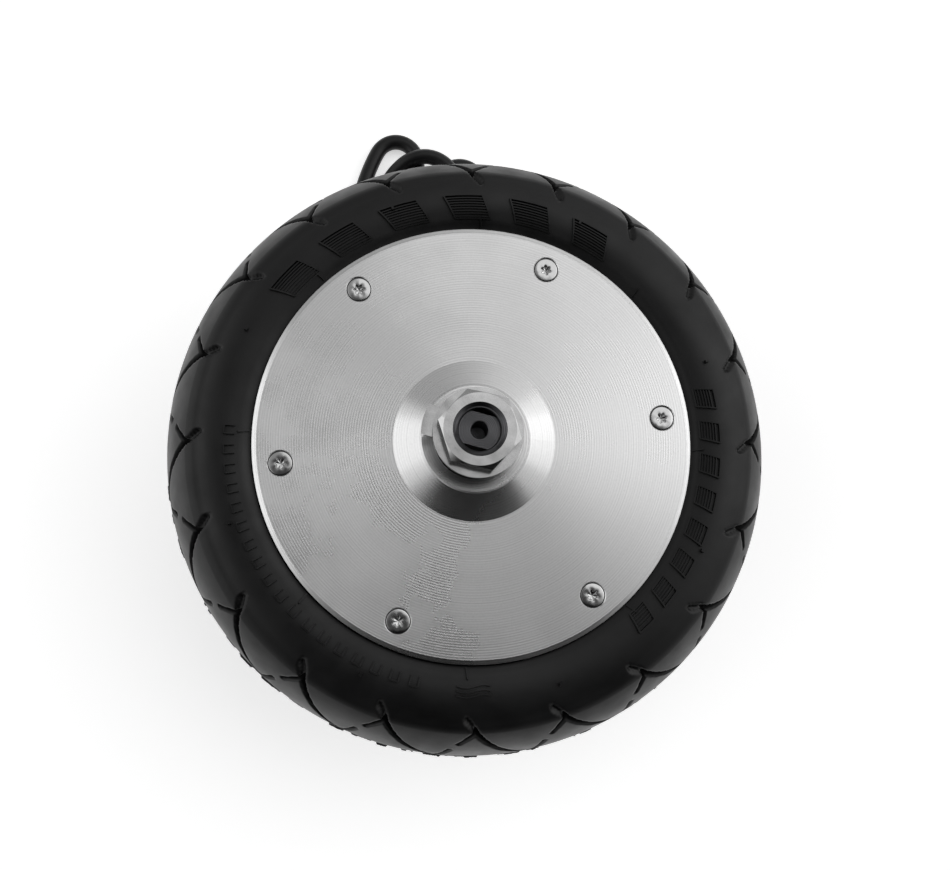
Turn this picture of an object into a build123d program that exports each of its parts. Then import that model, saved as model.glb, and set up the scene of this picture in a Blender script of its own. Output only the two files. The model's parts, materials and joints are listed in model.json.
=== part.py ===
from build123d import *
import os
from math import cos, pi, radians, sin, tan

# Hub motor wheel, in millimetres. Z is the axle, from the rear end up to the front
# cover, and the origin is on the axle in the middle of the tyre.

# Tyre and rim
tyre_radius = 100.0
tyre_half_width = 26.5
sidewall_radius = 80.0
shoulder_radius = 90.4
shoulder_height = 22.9
bead_height = 24.0
rim_radius = 70.0
rim_bore_radius = 57.5
rim_half_width = 18.0
rim_groove_radius = 68.0
rim_groove_half_width = 9.0

# Covers
cover_radius = 69.6
cover_face_height = 26.0
cover_inner_height = 21.0
cover_edge_width = 1.4
cover_edge_drop = 0.6
gasket_thickness = 0.5
spigot_radius = 57.4
spigot_bore_radius = 54.0
spigot_height = 16.0
rib_count = 6
rib_width = 4.0
rib_height = 18.2
boss_base_radius = 25.7
boss_top_radius = 17.3
boss_height = 31.0
boss_edge_chamfer = 0.5
hub_radius = 24.0
hub_height = 15.5
seal_bore_radius = 13.0

# Cover screws, M4 x 16 countersunk with a six-lobe socket
screw_count = 6
screw_circle_radius = 61.0
screw_phase = 7.4
screw_radius = 2.0
screw_head_radius = 4.0
screw_sink_radius = 4.25
screw_top_height = 25.8
screw_end_height = 10.0
screw_hole_end_height = 8.0
screw_clearance_radius = 2.2
screw_thread_gap = 0.05
screw_point = 0.6
socket_radius = 1.45
socket_lobe_radius = 0.5
socket_depth = 1.6

# Bearings, 17 x 35 x 10, on both sides
bearing_radius = 17.5
bearing_bore_radius = 8.5
bearing_width = 10.0
bearing_middle = 21.5
bearing_ball_circle = 13.0
bearing_ball_radius = 2.38
bearing_ball_count = 10
bearing_groove_radius = 2.45
inner_race_radius = 11.2
outer_race_bore_radius = 14.8
cage_inner_radius = 12.2
cage_outer_radius = 13.8
cage_half_width = 3.0
shield_inner_radius = 11.35
shield_thickness = 0.5
shield_inset = 0.2
preload_ring_thickness = 0.5
preload_ring_bore_radius = 15.0

# Shaft seals
seal_inner_radius = 8.55
seal_start_height = 27.3
seal_end_height = 29.8
seal_lip_radius = 9.6
seal_lip_depth = 0.8

# Magnets and flux ring
flux_ring_bore_radius = 53.5
flux_ring_half_width = 15.0
magnet_inner_radius = 50.5
magnet_half_width = 13.5
magnet_count = 30
magnet_half_angle = 5.6

# Stator
tooth_count = 27
phase_groups = 3
teeth_per_group = 3
core_half_width = 12.0
core_bore_radius = 32.0
yoke_radius = 36.0
tooth_width = 4.0
tooth_end_radius = 48.5
shoe_width = 9.3
shoe_inner_radius = 47.6
shoe_outer_radius = 49.6
insulator_thickness = 1.2
insulator_tooth_width = 4.4
insulator_ring_radius = 35.5
insulator_wall_inner_radius = 47.6
insulator_wall_outer_radius = 48.6
insulator_wall_width = 8.0
insulator_wall_height = 17.0
coil_start_radius = 36.8
coil_length = 10.4
coil_width = 8.0
coil_half_height = 16.8
coil_window_width = 4.6
coil_window_half_height = 13.4
coil_corner_radius = 2.6

# Carrier between axle and core
carrier_hub_radius = 16.0
carrier_hub_half_width = 9.0
carrier_web_half_width = 3.0
carrier_ring_radius = 27.0
carrier_hole_circle = 21.5
carrier_hole_radius = 3.6
carrier_hole_count = 6
key_width = 5.0
key_height = 5.0
key_length = 16.0
key_bottom_radius = 7.8
circlip_radius = 12.8
circlip_thickness = 1.0
circlip_seat_radius = 10.0
circlip_gap_width = 6.0

# Rotor position sensing
hall_board_inner_radius = 19.0
hall_board_outer_radius = 31.5
hall_board_thickness = 1.2
hall_board_half_angle = 100.0
hall_sensor_width = 1.6
hall_sensor_depth = 1.6
hall_sensor_height = 4.0
hall_sensor_radius = 48.6
hall_sensor_count = 3

# Axle, M14 with flats 10 mm apart at both dropouts
axle_radius = 10.5
axle_shoulder = 16.5
journal_radius = 8.5
front_journal_end = 31.5
front_end = 47.5
rear_journal_end = -43.0
rear_end = -60.0
thread_radius = 7.0
thread_gap = 0.05
end_chamfer = 1.0
pilot_radius = 6.0
pilot_start = -55.0
pilot_chamfer = 0.6
flat_spacing = 10.0
flat_angle = -14.6
rear_flat_end = -51.0
centre_hole_radius = 2.5
centre_hole_depth = 10.0
centre_sink = 0.9
wire_bore_radius = 3.8
wire_bore_end = -9.5
wire_entry_height = -13.25
wire_exit_height = -37.0
wire_hole_radius = 2.9

# Wires inside the motor
harness_radius = 1.9
harness_bend_radius = 3.0
harness_start_radius = 13.0
lead_wire_radius = 0.9
lead_wire_spread = 24.0
lead_wire_step = 1.9
lead_wire_height = -14.6

# Washers and flange nuts on the axle
washer_radius = 13.0
washer_thickness = 2.0
washer_hole_radius = 7.2
washer_flat_gap = 0.15
front_washer_bottom = 39.5
lug_width = 9.5
lug_reach = 17.8
lug_drop = 3.0
lug_end_radius = 17.2
rear_washer_thickness = 2.5
nut_flange_radius = 13.8
nut_flange_thickness = 2.0
nut_height = 8.5
nut_width = 22.0
nut_corner_angle = 47.5
nut_top_circle_radius = 10.9
nut_corner_radius = 12.75
nut_corner_drop = 1.1
nut_mouth_radius = 8.1

# Motor cable
cable_radius = 3.0
cable_floor = rear_end + cable_radius
bend_share = 0.45
grommet_start_radius = 7.6
grommet_length = 16.4
grommet_base_radius = 4.4
grommet_tip_radius = 3.7
grommet_hole_length = 1.6
lead_points = [
    (-23.22, 6.05, -37.0),
    (-37.3, 9.72, -37.0),
    (-48.5, 17.5, -44.0),
    (-53.0, 31.0, -52.5),
    (-50.0, 46.0, cable_floor),
    (-42.5, 58.0, cable_floor),
]
tail_points = [
    (8.0, 46.0, cable_floor),
    (17.0, 37.0, cable_floor),
    (28.5, 30.5, -52.0),
    (41.0, 27.0, -52.0),
]
hank_height = 14.6
hank_corner_radius = 2.0
hank_face_half_width = 6.0
waist_left = -26.3
waist_right = -5.7
waist_middle = 80.0
waist_half_length = 4.0
tie_width = 5.0
tie_thickness = 1.3
tie_head_size = 7.0
tie_head_height = 4.0

# Moulded round connector on the end of the cable
connector_radius = 8.0
connector_length = 42.0
connector_pin_count = 8
connector_pin_circle = 3.4
connector_pin_radius = 0.55
connector_pin_length = 7.0


def polar(radius, angle, height):
    """The point at this radius, angle in degrees and height."""
    return (radius * cos(radians(angle)), radius * sin(radians(angle)), height)


def bend_radii(points):
    """The largest tangent arc at each inner point of a cable's route."""
    radii = []
    for before, corner, after in zip(points, points[1:], points[2:]):
        run_in = Vector(*corner) - Vector(*before)
        run_out = Vector(*after) - Vector(*corner)
        half_turn = radians(run_in.get_angle(run_out) / 2)
        radii.append(bend_share * min(run_in.length, run_out.length) / tan(half_turn))
    return radii


def report_tube(name, piece, path, radii, radius):
    """Prints a tube's bends and compares its volume with section times length."""
    length = path.wire().length
    share = piece.part.volume / (pi * radius**2 * length)
    print(name, "length", round(length, 1), "volume share", round(share, 4))
    print(name, "bend radii", [round(bend, 1) for bend in radii])


flat_plane = Plane.XY.rotated((0, 0, flat_angle))
exit_angle = flat_angle + 180
bearing_start = bearing_middle - bearing_width / 2
bearing_end = bearing_middle + bearing_width / 2
shoulder_face = bearing_end + preload_ring_thickness
cover_rim_height = rim_half_width + gasket_thickness
front_nut_bottom = front_washer_bottom + washer_thickness
rear_washer_bottom = rear_journal_end - rear_washer_thickness

# --- Rotor -------------------------------------------------------------------

with BuildPart() as tyre:
    with BuildSketch(Plane.XZ):
        with BuildLine():
            ThreePointArc(
                (shoulder_radius, -shoulder_height),
                (tyre_radius, 0),
                (shoulder_radius, shoulder_height),
            )
            ThreePointArc(
                (shoulder_radius, shoulder_height),
                (sidewall_radius, tyre_half_width),
                (rim_radius, bead_height),
            )
            Polyline(
                (rim_radius, bead_height),
                (rim_radius, rim_groove_half_width),
                (rim_groove_radius, rim_groove_half_width),
                (rim_groove_radius, -rim_groove_half_width),
                (rim_radius, -rim_groove_half_width),
                (rim_radius, -bead_height),
            )
            ThreePointArc(
                (rim_radius, -bead_height),
                (sidewall_radius, -tyre_half_width),
                (shoulder_radius, -shoulder_height),
            )
        make_face()
    revolve(axis=Axis.Z)

with BuildPart() as rim:
    with BuildSketch(Plane.XZ):
        with BuildLine():
            Polyline(
                (rim_bore_radius, -rim_half_width),
                (rim_radius, -rim_half_width),
                (rim_radius, -rim_groove_half_width),
                (rim_groove_radius, -rim_groove_half_width),
                (rim_groove_radius, rim_groove_half_width),
                (rim_radius, rim_groove_half_width),
                (rim_radius, rim_half_width),
                (rim_bore_radius, rim_half_width),
                close=True,
            )
        make_face()
    revolve(axis=Axis.Z)
    for side in (1, -1):
        with BuildSketch(Plane.XY.offset(side * screw_hole_end_height)):
            with PolarLocations(screw_circle_radius, screw_count, screw_phase):
                Circle(screw_radius + screw_thread_gap)
        extrude(amount=side * (rim_half_width - screw_hole_end_height), mode=Mode.SUBTRACT)

with BuildPart() as flux_ring:
    with BuildSketch():
        Circle(rim_bore_radius)
        Circle(flux_ring_bore_radius, mode=Mode.SUBTRACT)
    extrude(amount=flux_ring_half_width, both=True)

with BuildPart() as magnet:
    with BuildSketch():
        Circle(flux_ring_bore_radius)
        Circle(magnet_inner_radius, mode=Mode.SUBTRACT)
        with BuildLine():
            Polyline(
                (0, 0),
                polar(tyre_radius, -magnet_half_angle, 0),
                polar(tyre_radius, magnet_half_angle, 0),
                close=True,
            )
        make_face(mode=Mode.INTERSECT)
    extrude(amount=magnet_half_width, both=True)

magnet_pitch = 360 / magnet_count

with BuildPart() as magnets_north:
    with PolarLocations(0, magnet_count // 2):
        add(magnet.part)

with BuildPart() as magnets_south:
    with PolarLocations(0, magnet_count // 2, magnet_pitch):
        add(magnet.part)

with BuildPart() as front_cover:
    with BuildSketch(Plane.XZ):
        with BuildLine():
            Polyline(
                (bearing_radius, hub_height),
                (hub_radius, hub_height),
                (hub_radius, cover_inner_height),
                (spigot_bore_radius, cover_inner_height),
                (spigot_bore_radius, spigot_height),
                (spigot_radius, spigot_height),
                (spigot_radius, cover_rim_height),
                (cover_radius, cover_rim_height),
                (cover_radius, cover_face_height - cover_edge_drop),
                (cover_radius - cover_edge_width, cover_face_height),
                (boss_base_radius, cover_face_height),
                (boss_top_radius, boss_height - boss_edge_chamfer),
                (boss_top_radius - boss_edge_chamfer, boss_height),
                (seal_bore_radius, boss_height),
                (seal_bore_radius, shoulder_face),
                (bearing_radius, shoulder_face),
                close=True,
            )
        make_face()
    revolve(axis=Axis.Z)
    rib_start = hub_radius - 1
    rib_end = spigot_bore_radius + 1
    with BuildSketch(Plane.XY.offset(rib_height)):
        with PolarLocations((rib_start + rib_end) / 2, rib_count, screw_phase):
            Rectangle(rib_end - rib_start, rib_width)
    extrude(amount=cover_inner_height - rib_height)
    with BuildSketch(Plane.XY.offset(cover_rim_height)):
        with PolarLocations(screw_circle_radius, screw_count, screw_phase):
            Circle(screw_clearance_radius)
    extrude(amount=cover_face_height - cover_rim_height, mode=Mode.SUBTRACT)
    with PolarLocations(screw_circle_radius, screw_count, screw_phase):
        with Locations((0, 0, cover_face_height - screw_sink_radius / 2)):
            Cone(0, screw_sink_radius, screw_sink_radius, mode=Mode.SUBTRACT)

with BuildPart() as front_gasket:
    with BuildSketch(Plane.XY.offset(rim_half_width)):
        Circle(cover_radius)
        Circle(rim_bore_radius, mode=Mode.SUBTRACT)
        with PolarLocations(screw_circle_radius, screw_count, screw_phase):
            Circle(screw_clearance_radius, mode=Mode.SUBTRACT)
    extrude(amount=gasket_thickness)

with BuildPart() as cover_screw:
    with BuildSketch(Plane.XZ):
        with BuildLine():
            Polyline(
                (0, screw_end_height),
                (screw_radius - screw_point, screw_end_height),
                (screw_radius, screw_end_height + screw_point),
                (screw_radius, screw_top_height - (screw_head_radius - screw_radius)),
                (screw_head_radius, screw_top_height),
                (0, screw_top_height),
                close=True,
            )
        make_face()
    revolve(axis=Axis.Z)
    with BuildSketch(Plane.XY.offset(screw_top_height - socket_depth)):
        Circle(socket_radius)
        with PolarLocations(socket_radius, screw_count):
            Circle(socket_lobe_radius)
    extrude(amount=socket_depth, mode=Mode.SUBTRACT)

with BuildPart() as front_cover_screws:
    with PolarLocations(screw_circle_radius, screw_count, screw_phase):
        add(cover_screw.part)

with BuildPart() as front_bearing_outer_race:
    with BuildSketch(Plane.XZ):
        with Locations(((outer_race_bore_radius + bearing_radius) / 2, bearing_middle)):
            Rectangle(bearing_radius - outer_race_bore_radius, bearing_width)
        with Locations((bearing_ball_circle, bearing_middle)):
            Circle(bearing_groove_radius, mode=Mode.SUBTRACT)
    revolve(axis=Axis.Z)

with BuildPart() as front_bearing_inner_race:
    with BuildSketch(Plane.XZ):
        with Locations(((bearing_bore_radius + inner_race_radius) / 2, bearing_middle)):
            Rectangle(inner_race_radius - bearing_bore_radius, bearing_width)
        with Locations((bearing_ball_circle, bearing_middle)):
            Circle(bearing_groove_radius, mode=Mode.SUBTRACT)
    revolve(axis=Axis.Z)

with BuildPart() as front_bearing_shields:
    for shield_start in (
        bearing_start + shield_inset,
        bearing_end - shield_inset - shield_thickness,
    ):
        with BuildSketch(Plane.XY.offset(shield_start)):
            Circle(outer_race_bore_radius)
            Circle(shield_inner_radius, mode=Mode.SUBTRACT)
        extrude(amount=shield_thickness)

with BuildPart() as front_bearing_balls:
    with PolarLocations(bearing_ball_circle, bearing_ball_count):
        with Locations((0, 0, bearing_middle)):
            Sphere(bearing_ball_radius)

with BuildPart() as front_bearing_cage:
    with BuildSketch(Plane.XY.offset(bearing_middle)):
        Circle(cage_outer_radius)
        Circle(cage_inner_radius, mode=Mode.SUBTRACT)
    extrude(amount=cage_half_width, both=True)
    for ball in range(bearing_ball_count):
        ball_angle = ball * 360 / bearing_ball_count
        pocket_plane = Plane(
            origin=(0, 0, bearing_middle),
            x_dir=(0, 0, 1),
            z_dir=polar(1, ball_angle, 0),
        )
        with BuildSketch(pocket_plane):
            Circle(bearing_groove_radius)
        extrude(amount=bearing_radius, mode=Mode.SUBTRACT)

with BuildPart() as wave_washer:
    with BuildSketch(Plane.XY.offset(bearing_end)):
        Circle(bearing_radius)
        Circle(preload_ring_bore_radius, mode=Mode.SUBTRACT)
    extrude(amount=preload_ring_thickness)

with BuildPart() as bearing_shim:
    mirror(wave_washer.part, about=Plane.XY)

with BuildPart() as front_shaft_seal:
    with BuildSketch(Plane.XZ):
        with BuildLine():
            Polyline(
                (seal_inner_radius, seal_start_height),
                (seal_bore_radius, seal_start_height),
                (seal_bore_radius, seal_end_height),
                (seal_lip_radius + seal_lip_depth, seal_end_height),
                (seal_lip_radius, seal_end_height - seal_lip_depth),
                (seal_inner_radius, seal_end_height),
                close=True,
            )
        make_face()
    revolve(axis=Axis.Z)

# --- Stator ------------------------------------------------------------------

with BuildPart() as axle:
    with BuildSketch(Plane.XZ):
        with BuildLine():
            Polyline(
                (0, rear_end),
                (pilot_radius - pilot_chamfer, rear_end),
                (pilot_radius, rear_end + pilot_chamfer),
                (pilot_radius, pilot_start),
                (thread_radius, pilot_start + end_chamfer),
                (thread_radius, rear_journal_end),
                (journal_radius, rear_journal_end),
                (journal_radius, -axle_shoulder),
                (axle_radius, -axle_shoulder),
                (axle_radius, axle_shoulder),
                (journal_radius, axle_shoulder),
                (journal_radius, front_journal_end),
                (thread_radius, front_journal_end),
                (thread_radius, front_end - end_chamfer),
                (thread_radius - end_chamfer, front_end),
                (0, front_end),
                close=True,
            )
        make_face()
    revolve(axis=Axis.Z)
    flat_cut = flat_spacing / 2 + thread_radius
    for start, end in ((front_journal_end, front_end), (rear_flat_end, rear_journal_end)):
        with BuildSketch(flat_plane.offset(start)):
            with Locations((0, flat_cut), (0, -flat_cut)):
                Rectangle(4 * thread_radius, 2 * thread_radius)
        extrude(amount=end - start, mode=Mode.SUBTRACT)
    with BuildSketch(Plane.XY.offset(front_end - centre_hole_depth)):
        Circle(centre_hole_radius)
    extrude(amount=centre_hole_depth, mode=Mode.SUBTRACT)
    with Locations((0, 0, front_end - centre_sink / 2)):
        Cone(
            centre_hole_radius,
            centre_hole_radius + centre_sink,
            centre_sink,
            mode=Mode.SUBTRACT,
        )
    with BuildSketch(Plane.XY.offset(rear_end)):
        Circle(wire_bore_radius)
    extrude(amount=wire_bore_end - rear_end, mode=Mode.SUBTRACT)
    for hole_height, hole_angle in (
        (wire_entry_height, exit_angle),
        (wire_exit_height, exit_angle),
    ):
        with BuildSketch(
            Plane(
                origin=(0, 0, hole_height),
                x_dir=(0, 0, 1),
                z_dir=polar(1, hole_angle, 0),
            )
        ):
            Circle(wire_hole_radius)
        extrude(amount=2 * axle_radius, mode=Mode.SUBTRACT)
    with BuildSketch(Plane.XY.offset(-key_length / 2)):
        with Locations((0, key_bottom_radius + key_height / 2)):
            Rectangle(key_width, key_height)
    extrude(amount=key_length, mode=Mode.SUBTRACT)
    for side in (1, -1):
        with BuildSketch(Plane.XY.offset(side * carrier_hub_half_width)):
            Circle(axle_radius)
            Circle(circlip_seat_radius, mode=Mode.SUBTRACT)
        extrude(amount=side * circlip_thickness, mode=Mode.SUBTRACT)
    with BuildSketch(
        Plane(
            origin=polar(grommet_start_radius, exit_angle, wire_exit_height),
            x_dir=(0, 0, 1),
            z_dir=polar(1, exit_angle, 0),
        )
    ):
        Circle(grommet_base_radius)
    extrude(amount=grommet_hole_length, mode=Mode.SUBTRACT)

with BuildPart() as axle_circlips:
    for side in (1, -1):
        with BuildSketch(Plane.XY.offset(side * carrier_hub_half_width)):
            Circle(circlip_radius)
            Circle(circlip_seat_radius, mode=Mode.SUBTRACT)
            with Locations((circlip_radius, 0)):
                Rectangle(circlip_radius, circlip_gap_width, mode=Mode.SUBTRACT)
        extrude(amount=side * circlip_thickness)

with BuildPart() as stator_carrier:
    with BuildSketch(Plane.XZ):
        with BuildLine():
            Polyline(
                (axle_radius, -carrier_hub_half_width),
                (carrier_hub_radius, -carrier_hub_half_width),
                (carrier_hub_radius, -carrier_web_half_width),
                (carrier_ring_radius, -carrier_web_half_width),
                (carrier_ring_radius, -core_half_width),
                (core_bore_radius, -core_half_width),
                (core_bore_radius, core_half_width),
                (carrier_ring_radius, core_half_width),
                (carrier_ring_radius, carrier_web_half_width),
                (carrier_hub_radius, carrier_web_half_width),
                (carrier_hub_radius, carrier_hub_half_width),
                (axle_radius, carrier_hub_half_width),
                close=True,
            )
        make_face()
    revolve(axis=Axis.Z)
    with BuildSketch(Plane.XY.offset(-carrier_hub_half_width)):
        with PolarLocations(carrier_hole_circle, carrier_hole_count):
            Circle(carrier_hole_radius)
        with Locations((0, key_bottom_radius + key_height / 2)):
            Rectangle(key_width, key_height)
    extrude(amount=2 * carrier_hub_half_width, mode=Mode.SUBTRACT)

with BuildPart() as carrier_key:
    with BuildSketch(Plane.XY.offset(-key_length / 2)):
        with Locations((0, key_bottom_radius + key_height / 2)):
            Rectangle(key_width, key_height)
    extrude(amount=key_length)

with BuildPart() as stator_core:
    with BuildSketch():
        Circle(yoke_radius)
        with PolarLocations((yoke_radius + tooth_end_radius) / 2 - 1, tooth_count):
            Rectangle(tooth_end_radius - yoke_radius + 2, tooth_width)
        with PolarLocations((shoe_inner_radius + shoe_outer_radius) / 2, tooth_count):
            Rectangle(shoe_outer_radius - shoe_inner_radius, shoe_width)
        Circle(core_bore_radius, mode=Mode.SUBTRACT)
    extrude(amount=core_half_width, both=True)

with BuildPart() as front_slot_insulator:
    with BuildSketch(Plane.XY.offset(core_half_width)):
        Circle(insulator_ring_radius)
        with PolarLocations((yoke_radius + insulator_wall_inner_radius) / 2 - 1, tooth_count):
            Rectangle(insulator_wall_inner_radius - yoke_radius + 3, insulator_tooth_width)
        Circle(core_bore_radius, mode=Mode.SUBTRACT)
    extrude(amount=insulator_thickness)
    with BuildSketch(Plane.XY.offset(core_half_width)):
        wall_radius = (insulator_wall_inner_radius + insulator_wall_outer_radius) / 2
        wall_thickness = insulator_wall_outer_radius - insulator_wall_inner_radius
        with PolarLocations(wall_radius, tooth_count):
            Rectangle(wall_thickness, insulator_wall_width)
    extrude(amount=insulator_wall_height - core_half_width)

with BuildPart() as coil:
    with BuildSketch(Plane.YZ.offset(coil_start_radius)):
        RectangleRounded(coil_width, 2 * coil_half_height, coil_corner_radius)
        Rectangle(coil_window_width, 2 * coil_window_half_height, mode=Mode.SUBTRACT)
    extrude(amount=coil_length)


def phase_windings(phase):
    """The nine coils of one phase, in three groups of three neighbouring teeth."""
    tooth_pitch = 360 / tooth_count
    with BuildPart() as windings:
        for group in range(phase_groups):
            for step in range(teeth_per_group):
                tooth = (group * phase_groups + phase) * teeth_per_group + step
                with PolarLocations(0, 1, tooth * tooth_pitch):
                    add(coil.part)
    return windings


phase_a_windings = phase_windings(0)
phase_b_windings = phase_windings(1)
phase_c_windings = phase_windings(2)

with BuildPart() as hall_board:
    with BuildSketch(flat_plane.offset(-core_half_width - hall_board_thickness)):
        Circle(hall_board_outer_radius)
        Circle(hall_board_inner_radius, mode=Mode.SUBTRACT)
        with BuildLine():
            Polyline(
                (0, 0),
                polar(2 * core_bore_radius, hall_board_half_angle, 0),
                (-2 * core_bore_radius, 0),
                polar(2 * core_bore_radius, -hall_board_half_angle, 0),
                close=True,
            )
        make_face(mode=Mode.SUBTRACT)
    extrude(amount=hall_board_thickness)

with BuildPart() as hall_sensors:
    slot_angle = 180 / tooth_count
    with BuildSketch(Plane.XY.offset(-core_half_width)):
        for sensor in range(hall_sensor_count):
            sensor_angle = slot_angle * (1 + 6 * sensor)
            with PolarLocations(hall_sensor_radius, 1, sensor_angle):
                Rectangle(hall_sensor_depth, hall_sensor_width)
    extrude(amount=hall_sensor_height)

with BuildPart() as phase_leads:
    for step in (-1, 0, 1):
        start_angle = exit_angle + step * lead_wire_spread
        side_step = Vector(*polar(step * lead_wire_step, exit_angle + 90, 0))
        lead_start = Vector(*polar(coil_start_radius, start_angle, lead_wire_height))
        lead_turn = Vector(*polar(27.0, start_angle, lead_wire_height + 0.6))
        lead_end = Vector(*polar(harness_start_radius, exit_angle, wire_entry_height)) + side_step
        with BuildLine() as lead_line:
            Polyline(lead_start, lead_turn, lead_end)
        with BuildSketch(Plane(origin=lead_start, z_dir=lead_turn - lead_start)):
            Circle(lead_wire_radius)
        sweep(path=lead_line.line, transition=Transition.RIGHT)

with BuildPart() as internal_harness:
    with BuildLine() as harness_line:
        FilletPolyline(
            polar(harness_start_radius, exit_angle, wire_entry_height),
            (0, 0, wire_entry_height),
            (0, 0, wire_exit_height),
            polar(grommet_start_radius, exit_angle, wire_exit_height),
            radius=harness_bend_radius,
        )
    with BuildSketch(Plane(origin=harness_line.line @ 0, z_dir=harness_line.line % 0)):
        Circle(harness_radius)
    sweep(path=harness_line.line)

# --- Axle hardware -----------------------------------------------------------

with BuildPart() as front_tab_washer:
    with BuildSketch(flat_plane.offset(front_washer_bottom)):
        Circle(washer_radius)
        with Locations((-lug_reach / 2, 0)):
            Rectangle(lug_reach, lug_width)
    extrude(amount=washer_thickness)
    with BuildSketch(flat_plane.offset(front_washer_bottom - lug_drop)):
        with Locations((-lug_reach + washer_thickness / 2, 0)):
            Rectangle(washer_thickness, lug_width)
    extrude(amount=lug_drop)
    with BuildSketch(flat_plane.offset(front_washer_bottom - lug_drop)):
        Circle(lug_end_radius)
    extrude(amount=lug_drop + washer_thickness, mode=Mode.INTERSECT)
    with BuildSketch(flat_plane.offset(front_washer_bottom)):
        Circle(washer_hole_radius)
        Rectangle(
            3 * washer_hole_radius,
            flat_spacing + 2 * washer_flat_gap,
            mode=Mode.INTERSECT,
        )
    extrude(amount=washer_thickness, mode=Mode.SUBTRACT)

with BuildPart() as front_nut:
    with BuildSketch(Plane.XY.offset(front_nut_bottom)):
        RegularPolygon(nut_width / 2, 6, major_radius=False, rotation=nut_corner_angle)
    extrude(amount=nut_height)
    with BuildSketch(Plane.XZ):
        nut_top = front_nut_bottom + nut_height
        with BuildLine():
            Polyline(
                (0, front_nut_bottom),
                (nut_corner_radius, front_nut_bottom),
                (nut_corner_radius, nut_top - nut_corner_drop),
                (nut_top_circle_radius, nut_top),
                (0, nut_top),
                close=True,
            )
        make_face()
    revolve(axis=Axis.Z, mode=Mode.INTERSECT)
    with BuildSketch(Plane.XY.offset(front_nut_bottom)):
        Circle(nut_flange_radius)
    extrude(amount=nut_flange_thickness)
    with BuildSketch(Plane.XY.offset(front_nut_bottom)):
        Circle(thread_radius + thread_gap)
    extrude(amount=nut_height, mode=Mode.SUBTRACT)
    mouth_depth = nut_mouth_radius - thread_radius - thread_gap
    with Locations((0, 0, nut_top - mouth_depth / 2)):
        Cone(
            thread_radius + thread_gap,
            nut_mouth_radius,
            mouth_depth,
            mode=Mode.SUBTRACT,
        )

with BuildPart() as rear_washer:
    with BuildSketch(Plane.XY.offset(rear_washer_bottom)):
        Circle(washer_radius)
        Circle(washer_hole_radius, mode=Mode.SUBTRACT)
    extrude(amount=rear_washer_thickness)

with BuildPart() as rear_nut:
    nut_shift = front_nut_bottom + rear_washer_bottom
    mirror(front_nut.part.moved(Location((0, 0, -nut_shift))), about=Plane.XY)

# --- Motor cable -------------------------------------------------------------

with BuildPart() as cable_grommet:
    grommet_plane = Plane(
        origin=polar(grommet_start_radius, exit_angle, wire_exit_height),
        x_dir=polar(1, exit_angle, 0),
        z_dir=polar(1, exit_angle + 90, 0),
    )
    with BuildSketch(grommet_plane):
        with BuildLine():
            Polyline(
                (0, 0),
                (grommet_length, 0),
                (grommet_length, grommet_tip_radius),
                (grommet_hole_length, grommet_base_radius),
                (0, grommet_base_radius),
                close=True,
            )
        make_face()
    revolve(axis=Axis(grommet_plane.origin, grommet_plane.x_dir))

lead_radii = bend_radii(lead_points)
with BuildPart() as cable_lead:
    with BuildLine() as lead_path:
        FilletPolyline(*lead_points, radius=lead_radii)
    with BuildSketch(Plane(origin=lead_path.line @ 0, z_dir=lead_path.line % 0)):
        Circle(cable_radius)
    sweep(path=lead_path.line)
report_tube("cable_lead", cable_lead, lead_path, lead_radii, cable_radius)

tail_radii = bend_radii(tail_points)
with BuildPart() as cable_tail:
    with BuildLine() as tail_path:
        FilletPolyline(*tail_points, radius=tail_radii)
    with BuildSketch(Plane(origin=tail_path.line @ 0, z_dir=tail_path.line % 0)):
        Circle(cable_radius)
    sweep(path=tail_path.line)
report_tube("cable_tail", cable_tail, tail_path, tail_radii, cable_radius)


def square_face(point, direction):
    """The two ends of the hank's face that meets the cable squarely at a point."""
    along = Vector(direction.X, direction.Y, 0).normalized()
    across = Vector(along.Y, -along.X, 0) * hank_face_half_width
    middle = Vector(point[0], point[1], 0)
    return middle + across, middle - across


with BuildPart() as cable_hank:
    lead_right, lead_left = square_face(lead_points[-1], lead_path.line % 1)
    tail_right, tail_left = square_face(tail_points[0], tail_path.line % 0)
    with BuildSketch(Plane.XY.offset(rear_end)):
        with BuildLine():
            Polyline(
                (waist_left, waist_middle - waist_half_length),
                (waist_left, waist_middle + waist_half_length),
                (-31.0, 96.0),
                (-41.0, 110.0),
                (-41.5, 121.0),
                (-33.0, 133.0),
                (-24.5, 136.5),
                (-15.5, 132.0),
                (-4.0, 130.0),
                (5.0, 127.5),
                (9.0, 119.0),
                (4.0, 104.0),
                (waist_right, waist_middle + waist_half_length),
                (waist_right, waist_middle - waist_half_length),
                (2.0, 63.0),
                (tail_left.X, tail_left.Y),
                (tail_right.X, tail_right.Y),
                (-4.0, 31.0),
                (-20.0, 26.0),
                (-35.0, 31.0),
                (lead_right.X, lead_right.Y),
                (lead_left.X, lead_left.Y),
                (-38.0, 68.0),
                close=True,
            )
        make_face()
    extrude(amount=hank_height)
    fillet(cable_hank.edges().filter_by(Axis.Z), hank_corner_radius)
    with BuildSketch(Plane.XZ.offset(-waist_middle - tie_width / 2)):
        waist_centre = ((waist_left + waist_right) / 2, rear_end + hank_height / 2)
        with Locations(waist_centre):
            Rectangle(4 * hank_height, 2 * hank_height)
            Rectangle(
                waist_right - waist_left - 2 * tie_thickness,
                hank_height - 2 * tie_thickness,
                mode=Mode.SUBTRACT,
            )
    extrude(amount=tie_width, mode=Mode.SUBTRACT)

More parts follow.
